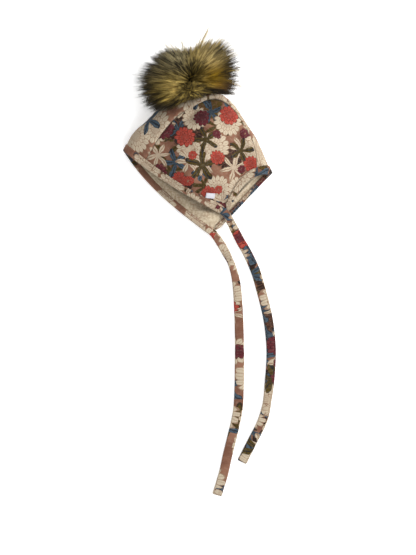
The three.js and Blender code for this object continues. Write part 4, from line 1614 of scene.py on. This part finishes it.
# How the fur is made, in millimetres: how it keeps clear, its locks, how its strands rise and reach,
# where they are rooted and how they bend, and its light and dark hairs
FUR_LOWEST = 0.4
FUR_HIGHEST = 88
FUR_OFF_CLOTH = (0.4, 3.5)
LOCKS = 800  # locks in each part of the fur
LOOSE_SHARE = 0.15  # the share of the strands that stray from their lock, and how many times as far
LOOSE_TIMES = 4.0
LOCK_SPREAD = {"bearing": 0.017, "rise": 0.02, "tip": 0.35}
STRAND_REACH = (0.84, 1.0)  # how much of the rim's dense part a strand reaches
WISP_POWER = 2.3
TOP_RISE = math.radians(70)
UNDER_RISE = (0.02, 1.35)
FUR_TALL = (42, 42.5)  # how far the tips reach above and below the fur's middle
ROOT_HEIGHT = {"top": 17, "under": -8}
ROOT_SPREAD = (1.3, 0.5)  # for a lock, and for a strand of it
BEND_AT = 0.42  # the share of its way at which a strand bends over
BEND_SPREAD = (1.5, 0.6)
UNDER_SAG = 14
TOP_BULGE = (6, 25)
GUARD_HAIRS = {"light": 0.05, "dark": 0.1, "thick": 1.7}
DARK_LOCKS = 0.34


def clear_of_cloth(points, seed):
    """Keeps fur above the floor and above the cloth below it."""
    points[:, 2] = np.clip(points[:, 2], FUR_LOWEST, FUR_HIGHEST)
    low = height_under(points[:, 0], points[:, 1])
    low = low + np.random.default_rng(seed).uniform(*FUR_OFF_CLOTH, len(points))
    points[:, 2] = np.maximum(points[:, 2], low)
    return points


def strand_tips(draw, count, low, high, under):
    """The bearing, rise and tip of each strand. Strands of one lock keep close together."""
    lock = draw.integers(0, LOCKS, count)
    lock_bearing = np.radians(draw.uniform(low, high, LOCKS))
    if under:
        lock_rise = -draw.uniform(*UNDER_RISE, LOCKS)
    else:
        lock_rise = TOP_RISE * draw.uniform(0, 1, LOCKS) ** 1.9
    loose = np.where(draw.random(count) < LOOSE_SHARE, LOOSE_TIMES, 1.0)
    bearing = lock_bearing[lock] + draw.normal(0, LOCK_SPREAD["bearing"], count) * loose
    rise = lock_rise[lock] + draw.normal(0, LOCK_SPREAD["rise"], count) * loose
    depth = draw.uniform(*STRAND_REACH, count)
    depth = depth * np.clip(draw.normal(0.98, 0.05, LOCKS), 0.82, 1.06)[lock]
    wisp = draw.random(count) ** WISP_POWER
    wisp = wisp * np.where(loose > 1, 1.15, draw.uniform(0.1, 1.1, LOCKS)[lock])
    reach = rim_column(bearing, 1) * depth + rim_column(bearing, 2) * wisp
    tall = np.where(rise > 0, *FUR_TALL) * depth
    flat = np.cos(rise) * reach
    tip = np.stack([np.cos(bearing) * flat, np.sin(bearing) * flat, np.sin(rise) * tall], axis=-1)
    return lock, bearing, rise, np.array(FUR_MIDDLE) + tip + draw.normal(0, LOCK_SPREAD["tip"], (count, 3))


def bent_strands(root, control, tip, t):
    """Curves from the roots to the tips, bent towards their control points."""
    return (1 - t) ** 2 * root[:, None] + 2 * t * (1 - t) * control[:, None] + t**2 * tip[:, None]


def strand_curves(draw, tip, lock, bearing, rise, under):
    """Strands that rise from the parting and bend over to their tips."""
    count = len(tip)

    def stray(spread_by):
        of_locks = draw.normal(0, spread_by[0], (LOCKS, 3))[lock]
        return of_locks, draw.normal(0, spread_by[1], (count, 3))

    along = np.clip(0.5 + 0.5 * np.sin(bearing) + draw.normal(0, 0.12, LOCKS)[lock], 0, 1)
    root = mix(np.array(PARTING[0]), np.array(PARTING[1]), along[:, None])
    height = FUR_MIDDLE[2] + ROOT_HEIGHT["under" if under else "top"]
    root = np.column_stack([root, np.full(count, height)])
    root = root + sum(stray(ROOT_SPREAD))
    bulge = np.zeros_like(tip)
    if under:
        bulge[:, 2] = -UNDER_SAG * np.cos(rise)
    else:
        bulge[:, 2] = draw.uniform(*TOP_BULGE, LOCKS)[lock] * np.clip(1.15 - np.sin(rise), 0.2, 1.2)
    control = root + (tip - root) * BEND_AT + bulge + sum(stray(BEND_SPREAD))
    return bent_strands(root, control, tip, np.array(STRAND_SHARES)[None, :, None])


FUR_PARTS = (
    # name, from bearing, to bearing, share of the strands, whether it is the lower half, seed
    ("pompom_fur_left", 90, 270, 1.0, False, 71),
    ("pompom_fur_right", -90, 90, 1.0, False, 72),
    ("pompom_fur_under", 0, 360, 0.6, True, 73),
)
FUR_CORE = {"share": 0.62, "tall": 24, "lower": 10, "lump": 2.4, "pitch": 16}


class PompomOperator(bpy.types.Operator):
    """Makes the fur pompom: a core painted dark as shade, and strands that spread from a parting, in locks"""

    bl_idname = "bonnet.pompom"
    bl_label = "Pompom"

    def execute(self, context):
        sizes = context.scene.bonnet_sizes
        colours = context.scene.bonnet_colours
        fur = fur_material("long_fur")
        self.core(colours, fur)
        for name, low, high, part, under, seed in FUR_PARTS:
            draw = np.random.default_rng(seed)
            count = int(sizes.strands * part)
            lock, bearing, rise, tip = strand_tips(draw, count, low, high, under)
            curve = strand_curves(draw, tip, lock, bearing, rise, under)
            curve = clear_of_cloth(curve.reshape(-1, 3), seed + 100).reshape(curve.shape)
            tone = np.clip(draw.normal(1.05, 0.45, LOCKS), 0.3, 2.2)
            tone = np.where(draw.random(LOCKS) < DARK_LOCKS, 0.16, tone)[lock] * draw.uniform(0.8, 1.2, count)
            guard = draw.random(count)
            tone = np.where(guard < GUARD_HAIRS["dark"], 0.1, tone)
            tone = np.where(guard < GUARD_HAIRS["light"], 2.2, tone)
            thick = np.where(guard < GUARD_HAIRS["dark"], GUARD_HAIRS["thick"], 1.0)
            # Painted shade: strands that rise steeply at the parting are darkened by up to half, for the
            # shade of the deep parting
            tone = tone * mix(1, 0.5, ease(rise, 0.7, 0.5))
            dark = np.clip(rim_column(bearing, 3) * draw.normal(1.1, 0.2, count), 0, 1)
            self.strands(name, colours, sizes, fur, draw, curve, tone, dark, thick)
        self.tufts(colours, sizes, fur)
        return {"FINISHED"}

    def strands(self, name, colours, sizes, fur, draw, curve, tone, dark, thick=1.0):
        shades = [
            fur_shade(colours, curve[:, k, 0], curve[:, k, 1], share, dark, tone)
            for k, share in enumerate(STRAND_SHARES)
        ]
        width = thick * sizes.strand_width / MM * np.clip(draw.normal(1.0, 0.25, len(curve)), 0.5, 1.7)
        obj = strand_mesh(name, curve, width, np.stack(shades, axis=1))
        dress(obj, fur, ("pompom",))

    def tufts(self, colours, sizes, fur):
        """The few loose tufts that stand out of the rim."""
        draw = np.random.default_rng(75)
        curves = []
        for x, y, count, spread_by in FUR_TUFTS:
            tip = np.array([x, y, FUR_MIDDLE[2] + 6]) + draw.normal(0, spread_by * 0.8, (count, 3))
            root = np.array([*mix(np.array(PARTING[1]), np.array([x, y]), 0.35), FUR_MIDDLE[2] + 20])
            root = root + draw.normal(0, 1 + spread_by * 0.6, (count, 3))
            control = root + (tip - root) * 0.5 + np.array([0, 0, 8.0])
            control = control + draw.normal(0, spread_by * 0.6, (count, 3))
            share = draw.uniform(0.75, 1.0, count)[:, None, None]
            curves.append(bent_strands(root, control, tip, np.array(STRAND_SHARES)[None, :, None] * share))
        curve = np.vstack(curves)
        tone = draw.uniform(0.6, 1.6, len(curve))
        self.strands("pompom_tufts", colours, sizes, fur, draw, curve, tone, tone * 0.15)

    def core(self, colours, fur):
        """The dense middle, painted dark: painted shade that shows between the strands."""
        deselect()
        bpy.ops.mesh.primitive_ico_sphere_add(subdivisions=5, radius=1)
        obj = bpy.context.object
        obj.name = "pompom_core"
        co = np.array([vertex.co[:] for vertex in obj.data.vertices])
        reach = rim_column(np.arctan2(co[:, 1], co[:, 0]), 1) * FUR_CORE["share"]
        points = np.stack([co[:, 0] * reach, co[:, 1] * reach, co[:, 2] * FUR_CORE["tall"]], axis=-1)
        points = points + np.array(FUR_MIDDLE) - np.array([0, 0, FUR_CORE["lower"]])
        x, y, z = points.T
        lump = waves(x + z, y - z, FUR_CORE["lump"], FUR_CORE["pitch"], 74)
        points = clear_of_cloth(points + unit(co) * lump[:, None], 76)
        place_vertices(obj, points)
        # Half tone and the root colour: painted shade deep inside the fur
        tone = np.full(len(points), 0.5)
        paint(obj, fur_shade(colours, points[:, 0], points[:, 1], 0.2, tone * 0, tone))
        shade_smooth(obj)
        dress(obj, fur, ("pompom",))


class FinishesOperator(bpy.types.Operator):
    """Makes the finishes that several pieces share, from one floral print"""

    bl_idname = "bonnet.finishes"
    bl_label = "Print finishes"

    def execute(self, context):
        tree = print_group(context.scene.bonnet_colours)
        prints = (
            # name, shift in metres, turn in degrees, share of the vivid motifs
            ("floral_upper", (0.012, 0.034), 12, 1.0),
            ("floral_lower", (0.31, 0.15), 75, 1.0),
            ("floral_crown", (0.52, 0.27), -30, 0.4),
            ("floral_face_binding", (0.23, 0.61), 0, 0.5),
            ("floral_neck_binding", (0.74, 0.08), 0, 1.2),
            ("floral_tie_near", (0.47, 0.19), 0, 1.4),
            ("floral_tie_far", (0.12, 0.83), 0, 0.45),
        )
        for name, shift, turn, vivid in prints:
            print_material(name, tree, shift, turn, vivid)
        return {"FINISHED"}


OPERATORS = (
    StageOperator,
    FinishesOperator,
    TiesOperator,
    PanelsOperator,
    LiningOperator,
    BindingsOperator,
    StitchesOperator,
    LabelOperator,
    PompomOperator,
)


class BonnetSidebar(bpy.types.Panel):
    """Lists the bonnet's pieces, sizes and colours"""

    bl_idname = "VIEW3D_PT_bonnet"
    bl_label = "Bonnet"
    bl_space_type = "VIEW_3D"
    bl_region_type = "UI"
    bl_category = "Bonnet"

    def draw(self, context):
        layout = self.layout
        for operator in OPERATORS:
            layout.operator(operator.bl_idname)
        for group in (context.scene.bonnet_sizes, context.scene.bonnet_colours):
            for key in group.bl_rna.properties.keys():
                if key not in ("rna_type", "name"):
                    layout.prop(group, key)


CLASSES = (BonnetSizes, BonnetColours, *OPERATORS, BonnetSidebar)


def register():
    for item in CLASSES:
        bpy.utils.register_class(item)
    bpy.types.Scene.bonnet_sizes = PointerProperty(type=BonnetSizes)
    bpy.types.Scene.bonnet_colours = PointerProperty(type=BonnetColours)


def unregister():
    del bpy.types.Scene.bonnet_colours
    del bpy.types.Scene.bonnet_sizes
    for item in reversed(CLASSES):
        bpy.utils.unregister_class(item)


def main():
    register()
    for operator in OPERATORS:
        group, name = operator.bl_idname.split(".")
        getattr(getattr(bpy.ops, group), name)()


if __name__ == "__main__":
    main()
